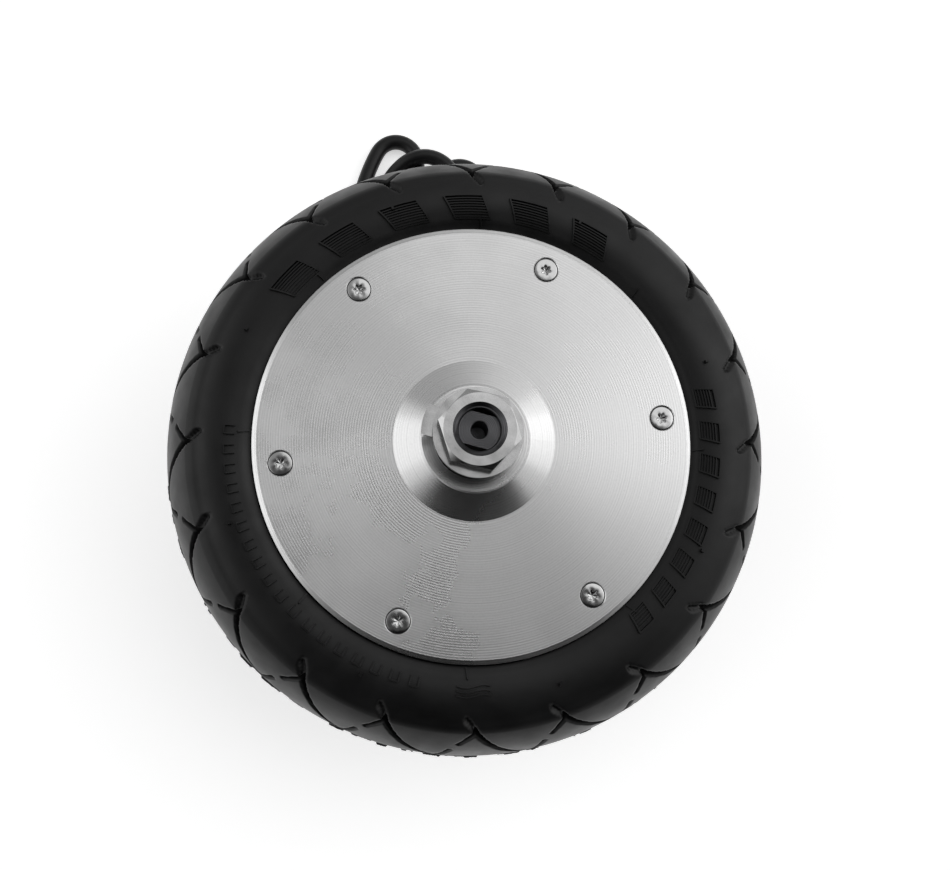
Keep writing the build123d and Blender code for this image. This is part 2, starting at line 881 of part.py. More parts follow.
with BuildPart() as cable_tie:
    with BuildSketch(Plane.XZ.offset(-waist_middle - tie_width / 2)):
        with Locations(waist_centre):
            Rectangle(waist_right - waist_left, hank_height)
            Rectangle(
                waist_right - waist_left - 2 * tie_thickness,
                hank_height - 2 * tie_thickness,
                mode=Mode.SUBTRACT,
            )
    extrude(amount=tie_width)
    with BuildSketch(Plane.XY.offset(rear_end + hank_height)):
        with Locations((waist_centre[0], waist_middle)):
            Rectangle(tie_head_size, tie_width)
    extrude(amount=tie_head_height)

tail_end = Vector(*tail_points[-1])
tail_heading = tail_path.line % 1
connector_heading = Vector(tail_heading.X, tail_heading.Y, tail_heading.Z).normalized()
connector_across = connector_heading.cross(Vector(0, 0, 1)).normalized()
connector_plane = Plane(origin=tail_end, x_dir=connector_heading, z_dir=connector_across)
socket_floor = connector_length - connector_pin_length - 1.0
socket_bore = connector_radius - 2.0

with BuildPart() as connector_body:
    with BuildSketch(connector_plane):
        with BuildLine():
            Polyline(
                (0, 0),
                (connector_length, 0),
                (connector_length, connector_radius),
                (connector_length - 16, connector_radius),
                (connector_length - 17, connector_radius - 1.0),
                (14, connector_radius - 1.0),
                (12, connector_radius - 2.2),
                (0, cable_radius + 0.9),
                close=True,
            )
        make_face()
    revolve(axis=Axis(tail_end, connector_heading))
    with BuildSketch(
        Plane(origin=tail_end + connector_heading * socket_floor, z_dir=connector_heading)
    ):
        Circle(socket_bore)
    extrude(amount=connector_length, mode=Mode.SUBTRACT)

with BuildPart() as connector_pins:
    with BuildSketch(
        Plane(origin=tail_end + connector_heading * socket_floor, z_dir=connector_heading)
    ):
        Circle(connector_pin_radius)
        with PolarLocations(connector_pin_circle, connector_pin_count):
            Circle(connector_pin_radius)
    extrude(amount=connector_pin_length)

# --- Mirrored rear pieces and output -----------------------------------------

front_pieces = {
    "cover": front_cover,
    "cover_screws": front_cover_screws,
    "gasket": front_gasket,
    "bearing_outer_race": front_bearing_outer_race,
    "bearing_inner_race": front_bearing_inner_race,
    "bearing_shields": front_bearing_shields,
    "bearing_balls": front_bearing_balls,
    "bearing_cage": front_bearing_cage,
    "shaft_seal": front_shaft_seal,
    "slot_insulator": front_slot_insulator,
}

pieces = {
    "tyre": tyre,
    "rim": rim,
    "flux_ring": flux_ring,
    "magnets_north": magnets_north,
    "magnets_south": magnets_south,
    "wave_washer": wave_washer,
    "bearing_shim": bearing_shim,
    "axle": axle,
    "axle_circlips": axle_circlips,
    "stator_carrier": stator_carrier,
    "carrier_key": carrier_key,
    "stator_core": stator_core,
    "phase_a_windings": phase_a_windings,
    "phase_b_windings": phase_b_windings,
    "phase_c_windings": phase_c_windings,
    "hall_board": hall_board,
    "hall_sensors": hall_sensors,
    "phase_leads": phase_leads,
    "internal_harness": internal_harness,
    "front_tab_washer": front_tab_washer,
    "front_nut": front_nut,
    "rear_washer": rear_washer,
    "rear_nut": rear_nut,
    "cable_grommet": cable_grommet,
    "cable_lead": cable_lead,
    "cable_tail": cable_tail,
    "cable_hank": cable_hank,
    "cable_tie": cable_tie,
    "connector_body": connector_body,
    "connector_pins": connector_pins,
}

for name, front_piece in front_pieces.items():
    with BuildPart() as rear_piece:
        mirror(front_piece.part, about=Plane.XY)
    pieces["front_" + name] = front_piece
    pieces["rear_" + name] = rear_piece

os.makedirs("parts", exist_ok=True)
for name, piece in pieces.items():
    piece.part.label = name
    export_step(piece.part, f"parts/{name}.step")
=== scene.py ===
import json
import math

import bpy
import numpy as np
from mathutils import Matrix, Vector


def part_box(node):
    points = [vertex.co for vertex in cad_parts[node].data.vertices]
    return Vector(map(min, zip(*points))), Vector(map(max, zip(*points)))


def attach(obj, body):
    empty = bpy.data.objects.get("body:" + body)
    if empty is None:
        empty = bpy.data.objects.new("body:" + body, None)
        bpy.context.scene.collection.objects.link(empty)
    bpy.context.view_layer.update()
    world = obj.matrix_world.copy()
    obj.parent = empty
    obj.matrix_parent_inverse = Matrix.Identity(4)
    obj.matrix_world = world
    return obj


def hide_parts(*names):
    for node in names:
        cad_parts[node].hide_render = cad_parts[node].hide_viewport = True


# Hub motor wheel lying on its back. Lengths are in millimetres, and MM turns them to metres.
MM = 0.001

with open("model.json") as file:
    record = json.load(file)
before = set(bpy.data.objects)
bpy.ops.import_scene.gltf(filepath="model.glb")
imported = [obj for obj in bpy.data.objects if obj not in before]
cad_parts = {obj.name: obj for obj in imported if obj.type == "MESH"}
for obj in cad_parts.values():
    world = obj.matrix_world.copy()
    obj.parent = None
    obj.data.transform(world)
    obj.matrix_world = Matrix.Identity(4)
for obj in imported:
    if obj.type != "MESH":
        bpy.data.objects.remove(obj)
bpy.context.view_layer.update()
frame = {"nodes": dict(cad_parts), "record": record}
scene = bpy.context.scene

# --- Sizes shared with the CAD model, in millimetres -----------------------------
# Points of the tyre's section are (radius, height above the middle). RIM_GROOVE is the
# same for the edge of the rim's groove.

TYRE_RADIUS = 100.0
SHOULDER = (90.4, 22.9)
SIDEWALL = (80.0, 26.5)
BEAD = (70.0, 24.0)
# The crown is an arc from shoulder to shoulder: its radius, and its centre's radius.
CROWN_CURVE = (SHOULDER[1] ** 2 + (TYRE_RADIUS - SHOULDER[0]) ** 2) / (
    2 * (TYRE_RADIUS - SHOULDER[0])
)
CROWN_CENTRE = TYRE_RADIUS - CROWN_CURVE
RIM_GROOVE = (68.0, 9.0)
FLOOR_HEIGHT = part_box("axle")[0].z
CABLE_DIAMETER = 6.0

# --- Camera ----------------------------------------------------------------------

CAMERA_PLACE = Vector((-24.2, -47.2, 354.1)) * MM
CAMERA_TARGET = Vector((2.15, 5.55, 0.0)) * MM
CAMERA_LENS = 39.85
CAMERA_SENSOR = 36.0
CAMERA_CLIP = 0.01


def aim(obj, place, target, up):
    """Puts obj at place, looking at target along its own -Z, with up upwards."""
    back = (place - target).normalized()
    right = up.cross(back).normalized()
    turn = Matrix((right, back.cross(right), back)).transposed()
    obj.matrix_world = Matrix.Translation(place) @ turn.to_4x4()


def make_camera():
    camera = bpy.data.objects.new("camera", bpy.data.cameras.new("camera"))
    scene.collection.objects.link(camera)
    camera.data.sensor_width = CAMERA_SENSOR
    camera.data.lens = CAMERA_LENS
    camera.data.clip_start = CAMERA_CLIP
    aim(camera, CAMERA_PLACE, CAMERA_TARGET, Vector((0, 1, 0)))
    scene.camera = camera


make_camera()

# --- Node and material helpers ---------------------------------------------------


def link(material, source, target):
    material.node_tree.links.new(source, target)


def add_node(material, kind, **settings):
    """A new shader node. Settings that name a socket set its value."""
    node = material.node_tree.nodes.new(kind)
    for name, value in settings.items():
        if name in node.inputs:
            node.inputs[name].default_value = value
        else:
            setattr(node, name, value)
    return node


def math_node(material, operation, first, second=0.0):
    node = add_node(material, "ShaderNodeMath", operation=operation)
    for socket, value in zip(node.inputs, (first, second)):
        if isinstance(value, (int, float)):
            socket.default_value = value
        else:
            link(material, value, socket)
    return node.outputs[0]


def new_material(name, colour, roughness, metallic=0.0, **sockets):
    """A Principled material. Extra sockets are given by name, with _ for spaces."""
    material = bpy.data.materials.new(name)
    material.use_nodes = True
    shader = material.node_tree.nodes["Principled BSDF"]
    shader.inputs["Base Color"].default_value = (*colour, 1.0)
    shader.inputs["Roughness"].default_value = roughness
    shader.inputs["Metallic"].default_value = metallic
    for socket, value in sockets.items():
        shader.inputs[socket.replace("_", " ")].default_value = value
    material.diffuse_color = (*colour, 1.0)
    return material


def principled(material):
    return material.node_tree.nodes["Principled BSDF"]


def object_place(material):
    """The point's place in the object, which is its place in the wheel, in metres."""
    return add_node(material, "ShaderNodeTexCoord").outputs["Object"]


def object_height(material):
    """Height above the wheel's middle plane, in metres."""
    split = add_node(material, "ShaderNodeSeparateXYZ")
    link(material, object_place(material), split.inputs[0])
    return split.outputs["Z"]


def noise(material, scale, detail=4.0, roughness=0.55):
    node = add_node(
        material,
        "ShaderNodeTexNoise",
        Scale=scale,
        Detail=detail,
        Roughness=roughness,
    )
    link(material, object_place(material), node.inputs["Vector"])
    return node.outputs["Fac"]


def remap(material, value, low, high, from_low=0.3, from_high=0.7):
    """Runs from low to high, without going past, as the value runs between two others."""
    node = add_node(material, "ShaderNodeMapRange")
    link(material, value, node.inputs["Value"])
    for socket, number in (
        ("From Min", from_low),
        ("From Max", from_high),
        ("To Min", low),
        ("To Max", high),
    ):
        node.inputs[socket].default_value = number
    return node.outputs["Result"]


def colour_between(material, value, dark, light):
    """Base colour that runs from dark to light with the value."""
    mix = add_node(material, "ShaderNodeMix", data_type="RGBA")
    mix.inputs[6].default_value = (*dark, 1.0)
    mix.inputs[7].default_value = (*light, 1.0)
    link(material, value, mix.inputs[0])
    link(material, mix.outputs[2], principled(material).inputs["Base Color"])


def roughness_between(material, value, low, high):
    link(material, remap(material, value, low, high), principled(material).inputs["Roughness"])


def bump(material, height, distance):
    """Adds a bump of this height in metres on top of any bump already there."""
    shader = principled(material)
    node = add_node(material, "ShaderNodeBump", Strength=1.0, Distance=distance)
    link(material, height, node.inputs["Height"])
    if shader.inputs["Normal"].links:
        link(material, shader.inputs["Normal"].links[0].from_socket, node.inputs["Normal"])
    link(material, node.outputs["Normal"], shader.inputs["Normal"])


def axis_distance(material):
    """Distance from the wheel's axis, in metres."""
    split = add_node(material, "ShaderNodeSeparateXYZ")
    link(material, object_place(material), split.inputs[0])
    across = math_node(material, "POWER", split.outputs["X"], 2.0)
    along = math_node(material, "POWER", split.outputs["Y"], 2.0)
    return math_node(material, "SQRT", math_node(material, "ADD", across, along))


def ring_noise(material, radius, scale):
    """Noise that is the same all the way round each ring, as a lathe leaves it."""
    node = add_node(
        material,
        "ShaderNodeTexNoise",
        noise_dimensions="1D",
        Scale=scale,
        Detail=3.0,
    )
    link(material, radius, node.inputs["W"])
    return node.outputs["Fac"]


def wave(material, distance, pitch):
    """A wave along a distance, with this pitch in metres, between -1 and 1."""
    turns = math_node(material, "MULTIPLY", distance, 2 * math.pi / pitch)
    return math_node(material, "SINE", turns)


def shade(colour, share):
    return tuple(share * channel for channel in colour)


# --- Materials -------------------------------------------------------------------

# The grooves' shade, in millimetres: the depths below the crown where it starts and is
# full, the distances inside the shoulder where it starts and is full. Then how much
# rougher and how dark it is.
SHADE_DEPTHS = (0.3, 1.1)
SHADE_EDGES = (0.9, 1.6)
SHADE_ROUGHNESS = 0.6
SHADE_COLOUR = (0.0008, 0.0008, 0.0009)

# Shares of smudges, grain and tool marks in turned metal's tone, beside its bands.
SMUDGE_SHARE = 0.8
GRAIN_SHARE = 0.7
LINE_SHARE = 0.16
TONE_LIMITS = (0.85, 1.65)


def moulded_rubber(name, dark, light, low, high, grain):
    """Rubber as it comes from a mould: matt grain, a slightly uneven skin and dust."""
    material = new_material(name, light, high, Specular_IOR_Level=0.32)
    dust = noise(material, scale=38.0, detail=6.0, roughness=0.6)
    colour_between(material, remap(material, dust, 0.0, 1.0), dark, light)
    roughness_between(material, noise(material, scale=90.0, detail=5.0), low, high)
    bump(material, noise(material, scale=2600.0, detail=3.0), grain)
    bump(material, noise(material, scale=210.0, detail=3.0), 3.0 * grain)
    return material


def paint_groove_shade(material):
    """Makes the rubber dull and black below the curve of the tread's crown, as painted shade in
    the grooves.
    """
    shader = principled(material)
    side = math_node(material, "ABSOLUTE", object_height(material))
    out = math_node(material, "SUBTRACT", axis_distance(material), CROWN_CENTRE * MM)
    out = math_node(material, "POWER", math_node(material, "MAXIMUM", out, 0.0), 2.0)
    along = math_node(material, "POWER", side, 2.0)
    reach = math_node(material, "SQRT", math_node(material, "ADD", out, along))
    start, full = (CROWN_CURVE * MM - depth * MM for depth in SHADE_DEPTHS)
    cut = remap(material, reach, 1.0, 0.0, full, start)
    end, inner = ((SHOULDER[1] - edge) * MM for edge in SHADE_EDGES)
    before_shoulder = remap(material, side, 1.0, 0.0, inner, end)
    groove = math_node(material, "MULTIPLY", cut, before_shoulder)
    rougher = math_node(material, "MULTIPLY", groove, SHADE_ROUGHNESS)
    old = shader.inputs["Roughness"].links[0].from_socket
    link(material, math_node(material, "ADD", old, rougher), shader.inputs["Roughness"])
    # Painted shade: near-black mixed into the base colour where the grooves are cut.
    mix = add_node(material, "ShaderNodeMix", data_type="RGBA")
    mix.inputs[7].default_value = (*SHADE_COLOUR, 1.0)
    link(material, groove, mix.inputs[0])
    link(material, shader.inputs["Base Color"].links[0].from_socket, mix.inputs[6])
    link(material, mix.outputs[2], shader.inputs["Base Color"])
    return material


def turned_metal(name, colour, roughness, pitch, depth, aniso):
    """Face-turned metal: concentric tool marks, bands of tone, smudges and a fine grain."""
    material = new_material(
        name, colour, roughness, 1.0, Anisotropic=aniso, Anisotropic_Rotation=0.25
    )
    tangent = add_node(material, "ShaderNodeTangent", direction_type="RADIAL", axis="Z")
    link(material, tangent.outputs[0], principled(material).inputs["Tangent"])
    radius = axis_distance(material)
    lines = wave(material, radius, pitch)
    smudge = noise(material, scale=22.0, detail=6.0, roughness=0.62)
    grain = noise(material, scale=1500.0, detail=3.0, roughness=0.6)
    tone = ring_noise(material, radius, scale=2600.0)
    for layer, share in ((smudge, SMUDGE_SHARE), (grain, GRAIN_SHARE), (lines, LINE_SHARE)):
        tone = math_node(material, "ADD", tone, math_node(material, "MULTIPLY", layer, share))
    tone = remap(material, tone, 0.0, 1.0, *TONE_LIMITS)
    colour_between(material, tone, shade(colour, 0.80), colour)
    roughness_between(material, smudge, roughness - 0.05, roughness + 0.06)
    bump(material, lines, depth)
    bump(material, grain, 0.6 * depth)
    return material


def plated_steel(name, colour, low, high):
    """Zinc-plated steel: bright, with a slightly uneven skin and small dents."""
    material = new_material(name, colour, high, 1.0)
    skin = remap(material, noise(material, scale=900.0, detail=3.0), 0.0, 1.0)
    colour_between(material, skin, shade(colour, 0.93), colour)
    roughness_between(material, noise(material, scale=150.0), low, high)
    bump(material, noise(material, scale=120.0, detail=1.0), 0.16 * MM)
    bump(material, noise(material, scale=1400.0, detail=2.0), 0.004 * MM)
    return material


def plain_solid(name, colour, roughness, metallic=0.0, grain=0.01, **sockets):
    """A solid with a little colour variation and a fine grain, in millimetres high."""
    material = new_material(name, colour, roughness, metallic, **sockets)
    spots = noise(material, scale=180.0)
    colour_between(material, remap(material, spots, 0.0, 1.0), shade(colour, 0.78), colour)
    roughness_between(material, spots, roughness - 0.05, roughness + 0.06)
    bump(material, noise(material, scale=900.0, detail=3.0), grain * MM)
    return material


def wound_copper(name):
    """Enamelled copper wire, seen as fine parallel turns, darker in the dips between them as
    painted shade.
    """
    dark, light = (0.36, 0.10, 0.03), (0.70, 0.28, 0.09)
    material = new_material(name, (0.62, 0.23, 0.07), 0.3, 1.0, Coat_Weight=0.6)
    turns = wave(material, axis_distance(material), 0.8 * MM)
    bump(material, turns, 0.12 * MM)
    # Painted shade: the colour darkens in the dips between the turns.
    colour_between(material, remap(material, turns, 0.0, 1.0, -1.0, 1.0), dark, light)
    return material


def stacked_steel(name):
    """The stator core's thin sheets, seen as fine lines across its edge."""
    dark, light = (0.10, 0.10, 0.11), (0.32, 0.33, 0.35)
    material = new_material(name, (0.26, 0.27, 0.29), 0.42, 0.9)
    sheets = wave(material, object_height(material), 0.5 * MM)
    bump(material, sheets, 0.05 * MM)
    colour_between(material, remap(material, sheets, 0.0, 1.0, -1.0, 1.0), dark, light)
    return material


MATERIALS = {
    "tread_rubber": paint_groove_shade(
        moulded_rubber(
            "tread_rubber",
            dark=(0.002, 0.002, 0.0022),
            light=(0.006, 0.006, 0.0062),
            low=0.34,
            high=0.5,
            grain=0.012 * MM,
        )
    ),
    "black_rubber": moulded_rubber(
        "black_rubber",
        dark=(0.006, 0.006, 0.006),
        light=(0.018, 0.018, 0.018),
        low=0.5,
        high=0.65,
        grain=0.01 * MM,
    ),
    "cable_jacket": moulded_rubber(
        "cable_jacket",
        dark=(0.002, 0.002, 0.0022),
        light=(0.008, 0.008, 0.0085),
        low=0.34,
        high=0.46,
        grain=0.008 * MM,
    ),
    "turned_aluminium": turned_metal(
        "turned_aluminium",
        (0.84, 0.84, 0.84),
        roughness=0.28,
        pitch=0.8 * MM,
        depth=0.006 * MM,
        aniso=0.85,
    ),
    "cast_aluminium": plain_solid(
        "cast_aluminium", (0.62, 0.63, 0.64), roughness=0.5, metallic=1.0, grain=0.05
    ),
    "steel": plain_solid("steel", (0.66, 0.66, 0.66), roughness=0.3, metallic=1.0),
    "axle_steel": turned_metal(
        "axle_steel",
        (0.11, 0.11, 0.115),
        roughness=0.3,
        pitch=0.5 * MM,
        depth=0.012 * MM,
        aniso=0.6,
    ),
    "bearing_steel": plain_solid(
        "bearing_steel", (0.75, 0.75, 0.76), roughness=0.16, metallic=1.0, grain=0.002
    ),
    "zinc_steel": plated_steel("zinc_steel", (0.54, 0.54, 0.54), low=0.1, high=0.2),
    "lamination_steel": stacked_steel("lamination_steel"),
    "magnet": plain_solid("magnet", (0.60, 0.60, 0.62), roughness=0.3, metallic=1.0),
    "copper": wound_copper("copper"),
    "insulator_plastic": plain_solid("insulator_plastic", (0.75, 0.73, 0.66), roughness=0.5),
    "circuit_board": plain_solid(
        "circuit_board", (0.02, 0.16, 0.06), roughness=0.35, Coat_Weight=0.4
    ),
    "wire_insulation": plain_solid("wire_insulation", (0.60, 0.45, 0.05), roughness=0.4),
    "black_plastic": plain_solid(
        "black_plastic", (0.018, 0.018, 0.018), roughness=0.42, grain=0.02
    ),
    "tie_nylon": plain_solid(
        "tie_nylon", (0.78, 0.78, 0.74), roughness=0.4, Subsurface_Weight=0.15
    ),
    "brass_pin": plain_solid(
        "brass_pin", (0.78, 0.60, 0.26), roughness=0.2, metallic=1.0, grain=0.002
    ),
    "gasket_paper": plain_solid(
        "gasket_paper", (0.25, 0.22, 0.18), roughness=0.8, grain=0.03
    ),
}


def dress_cad_nodes():
    """Gives each CAD node the detailed material of its slot in the record."""
    for part in frame["record"]["subparts"]:
        node = frame["nodes"][part["node"]]
        for material_slot in node.material_slots:
            material_slot.material = MATERIALS[part["material_slot"]]


dress_cad_nodes()

# --- Mesh helpers ----------------------------------------------------------------


def make_piece(name, points, faces, slot, body, smooth=True):
    """A mesh piece from points in millimetres, riding on a CAD body."""
    mesh = bpy.data.meshes.new(name)
    mesh.from_pydata([tuple(p) for p in np.asarray(points) * MM], [], faces)
    mesh.validate()
    mesh.materials.append(MATERIALS[slot])
    for polygon in mesh.polygons:
        polygon.use_smooth = smooth
    piece = bpy.data.objects.new(name, mesh)
    scene.collection.objects.link(piece)
    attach(piece, body)
    return piece


def ring_angles(columns):
    return np.arange(columns) * 2 * math.pi / columns


def grid_faces(rows, columns, first=0, close_rows=False):
    """Quads of a grid of points whose columns close into rings."""
    faces = []
    last_row = rows if close_rows else rows - 1
    for row in range(last_row):
        here = first + row * columns
        above = first + (row + 1) % rows * columns
        for column in range(columns):
            nxt = (column + 1) % columns
            faces.append((here + column, here + nxt, above + nxt, above + column))
    return faces


def end_faces(rows, columns, first=0):
    """The two faces that close the first and the last ring of a grid."""
    last = first + (rows - 1) * columns
    return [
        tuple(range(first + columns - 1, first - 1, -1)),
        tuple(range(last, last + columns)),
    ]


def flipped(faces):
    return [face[::-1] for face in faces]


def ring_points(radii, heights, angles):
    """Points of rings: radii is rows by columns, heights one number for each row."""
    radii = np.asarray(radii, float)
    heights = np.broadcast_to(np.asarray(heights, float)[:, None], radii.shape)
    return np.stack([radii * np.cos(angles), radii * np.sin(angles), heights], -1)


def arc_between(start, middle, end, spacing):
    """Evenly spaced points on the arc through three points, and their normals."""
    (ax, ay), (bx, by), (cx, cy) = start, middle, end
    twice_area = 2 * (ax * (by - cy) + bx * (cy - ay) + cx * (ay - by))
    a2, b2, c2 = ax**2 + ay**2, bx**2 + by**2, cx**2 + cy**2
    centre = np.array(
        [
            (a2 * (by - cy) + b2 * (cy - ay) + c2 * (ay - by)) / twice_area,
            (a2 * (cx - bx) + b2 * (ax - cx) + c2 * (bx - ax)) / twice_area,
        ]
    )
    radius = math.hypot(ax - centre[0], ay - centre[1])
    first = math.atan2(ay - centre[1], ax - centre[0])
    last = math.atan2(cy - centre[1], cx - centre[0])
    count = max(2, round(abs(last - first) * radius / spacing) + 1)
    turn = np.linspace(first, last, count)
    normals = np.stack([np.cos(turn), np.sin(turn)], -1)
    return centre + radius * normals, normals


# --- Motor cable -----------------------------------------------------------------

# The cable's route in millimetres, from where it leaves the axle to its connector.
CABLE_ROUTE = [
    # out of the axle, down to the floor and into the hank
    (-20.32, 5.29, -37.0),
    (-37.3, 9.72, -37.0),
    (-48.5, 17.5, -44.0),
    (-53.0, 31.0, -52.5),
    (-50.0, 46.0, -57.0),
    (-42.5, 58.0, -57.0),
    (-31.0, 68.0, -56.8),
    (-22.3, 80.0, -55.8),
    (-26.5, 91.0, -56.6),
    (-34.5, 101.0, -57.0),
    # first loop, beyond the tyre
    (-40.1, 113.0, -57.0),
    (-37.3, 122.2, -57.0),
    (-33.7, 130.7, -57.0),
    (-31.3, 133.6, -57.0),
    (-27.9, 135.3, -57.0),
    (-24.1, 135.3, -57.0),
    (-20.6, 133.6, -57.0),
    (-18.2, 130.6, -57.0),
    (-17.4, 126.9, -57.0),
    (-16.6, 117.0, -57.0),
    (-16.4, 104.0, -57.0),
    (-16.3, 92.0, -56.6),
    (-16.0, 80.0, -55.8),
    # fold back on the floor, and up to the second loop
    (-14.0, 68.0, -57.0),
    (-11.0, 56.0, -57.0),
    (-12.0, 44.0, -57.0),
    (-19.0, 34.5, -57.0),
    (-29.0, 34.0, -56.3),
    (-35.8, 42.0, -53.8),
    (-35.0, 54.0, -51.0),
    (-28.5, 66.0, -50.0),
    (-22.3, 80.0, -49.7),
    (-23.6, 92.0, -50.9),
    (-28.6, 103.0, -54.8),
    (-31.5, 113.0, -56.8),
    (-27.2, 121.2, -55.2),
    (-19.8, 126.4, -51.2),
    (-11.5, 127.2, -50.7),
    (-4.2, 122.8, -50.9),
    (-0.2, 114.0, -51.0),
    (-2.5, 103.0, -50.6),
    (-7.0, 91.0, -50.0),
    (-9.7, 80.0, -49.7),
    # fold back over the first fold, and down to the third loop
    (-7.5, 68.0, -50.3),
    (-4.5, 56.0, -50.7),
    (-5.0, 44.0, -50.8),
    (-12.0, 35.2, -50.8),
    (-22.0, 35.2, -50.8),
    (-27.5, 44.0, -50.7),
    (-25.5, 56.0, -50.4),
    (-19.0, 68.0, -50.0),
    (-16.0, 80.0, -49.7),
    (-12.8, 92.0, -51.0),
    (-9.4, 103.0, -55.2),
    (-8.6, 110.0, -57.0),
    (-8.2, 119.0, -57.0),
    (-6.5, 122.8, -57.0),
    (-3.2, 125.3, -57.0),
    (0.9, 126.0, -57.0),
    (4.9, 124.6, -57.0),
    (7.7, 121.5, -57.0),
    (8.7, 117.5, -57.0),
    (7.4, 106.5, -57.0),
    (1.5, 97.0, -57.0),
    (-5.5, 89.0, -56.6),
    (-9.7, 80.0, -55.8),
    # out to the connector
    (-7.5, 68.0, -57.0),
    (-0.5, 56.5, -57.0),
    (8.0, 46.0, -57.0),
    (17.0, 37.0, -57.0),
    (28.5, 30.5, -52.0),
    (44.0, 26.2, -52.0),
]


def make_cable():
    """The motor cable as one smooth line from the axle to its connector."""
    curve = bpy.data.curves.new("motor_cable", "CURVE")
    curve.dimensions = "3D"
    curve.resolution_u = 10
    curve.bevel_depth = CABLE_DIAMETER / 2 * MM
    curve.bevel_resolution = 6
    curve.use_fill_caps = True
    spline = curve.splines.new("NURBS")
    spline.points.add(len(CABLE_ROUTE) - 1)
    for point, place in zip(spline.points, CABLE_ROUTE):
        point.co = (*(Vector(place) * MM), 1.0)
    spline.order_u = 3
    spline.use_endpoint_u = True
    curve.materials.append(MATERIALS["cable_jacket"])
    cable = bpy.data.objects.new("motor_cable", curve)
    scene.collection.objects.link(cable)
    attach(cable, "stator")
    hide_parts("cable_lead", "cable_hank", "cable_tail")


make_cable()

# --- Tyre ------------------------------------------------------------------------

# The tread's repeats round the wheel and their phase in degrees, the mesh's columns and
# spacings, and how far inside the bead the bore starts.
TREAD_REPEATS = 20
TREAD_PHASE = 0.4
COLUMNS_PER_REPEAT = 72
TREAD_SPACING = 0.45
WALL_SPACING = 1.0
FINE_WALL_STEPS = 8
BEAD_LIP = 5.0

# How deep the side lies below the crown's edge, and where across the tread it drops.
SHOULDER_STEP = 0.45
SHOULDER_STEP_SPAN = (28.1, 28.8)

# The raised ring by the bead, and the radii between which it rises and falls.
BEAD_RING = 0.35
BEAD_RING_RISE = (71.0, 71.5)
BEAD_RING_FALL = (73.0, 73.8)

# The parting flash: its tufts, their lengths in columns, and its heights in millimetres.
FLASH_SEED = 4
FLASH_TUFTS = 110
FLASH_LENGTHS = (2, 14)
FLASH_BASE = 0.12
FLASH_RAGGED = 0.12
FLASH_LOW = 0.3
FLASH_HEIGHT = 0.95
FLASH_WIDTH = 0.5
FLASH_SINK = 0.25

# Where grooves cross they go no deeper than the limit. The other three numbers set how
# finely a groove's line is followed, and the shape of its walls.
GROOVE_LIMIT = 2.4
GROOVE_STEPS = 90
GROOVE_WALL_SLOPE = 2.4
GROOVE_WALL_POWER = 0.7

# Grooves in one repeat, as curves of (degrees round the wheel, millimetres across the
# tread), with a start and an end half-width and a depth.
REPEAT_ANGLE = 360.0 / TREAD_REPEATS
GROOVES = [
    {
        "curve": [(0.0, 25.9), (2.9, 18.4), (6.2, 12.0), (10.3, 6.6)],
        "half_widths": (0.95, 0.55),
        "depth": 2.4,
    },
    {
        "curve": [(10.2, 6.7), (11.4, 5.9), (12.2, 10.2), (13.4, 15.0)],
        "half_widths": (0.6, 0.85),
        "depth": 2.2,
    },
    {
        "curve": [(0.1, 25.6), (-0.8, 23.7), (-1.8, 21.9), (-3.0, 19.6)],
        "half_widths": (0.7, 0.75),
        "depth": 2.0,
    },
    {
        "curve": [(-0.3, 26.9), (-0.9, 28.0), (-1.4, 29.1), (-2.0, 30.2)],
        "half_widths": (1.0, 0.85),
        "depth": 1.3,
    },
]


def bezier(points, steps):
    """Evenly stepped points on a cubic curve."""
    a, b, c, d = (np.array(p, float) for p in points)
    t = np.linspace(0, 1, steps)[:, None]
    return (1 - t) ** 3 * a + 3 * (1 - t) ** 2 * t * b + 3 * (1 - t) * t**2 * c + t**3 * d


def groove_depths(turn, across, radius):
    """How deep the tread is cut at each point of one side's repeat."""
    depth = np.zeros(np.broadcast(turn, across).shape)
    degree = math.radians(1.0) * radius
    for groove in GROOVES:
        line = bezier(groove["curve"], GROOVE_STEPS)
        widths = np.linspace(*groove["half_widths"], len(line))
        for shift in (-REPEAT_ANGLE, 0.0, REPEAT_ANGLE):
            for (line_turn, line_across), width in zip(line, widths):
                away = np.hypot((turn - line_turn - shift) * degree, across - line_across)
                wall = np.clip(GROOVE_WALL_SLOPE * (1 - away / width), 0, 1)
                depth = np.maximum(depth, groove["depth"] * wall**GROOVE_WALL_POWER)
    return depth


def smooth_step(value, low, high):
    t = np.clip((value - low) / (high - low), 0, 1)
    return t * t * (3 - 2 * t)


def tyre_profile():
    """The outer skin's points, normals and distance across, from bead to bead."""
    mirrored = (SHOULDER[0], -SHOULDER[1])
    crown, crown_normals = arc_between(mirrored, (TYRE_RADIUS, 0.0), SHOULDER, TREAD_SPACING)
    near, near_normals = (
        np.concatenate([rows[1:FINE_WALL_STEPS], rows[FINE_WALL_STEPS::2], rows[-1:]])
        for rows in arc_between(SHOULDER, SIDEWALL, BEAD, WALL_SPACING)
    )
    flip = np.array([1.0, -1.0])
    points = np.concatenate([near[::-1] * flip, crown, near])
    normals = np.concatenate([near_normals[::-1] * flip, crown_normals, near_normals])
    steps = np.linalg.norm(np.diff(points, axis=0), axis=1)
    across = np.concatenate([[0], np.cumsum(steps)])
    across -= np.interp(0.0, points[:, 1], across)
    return points, normals, across


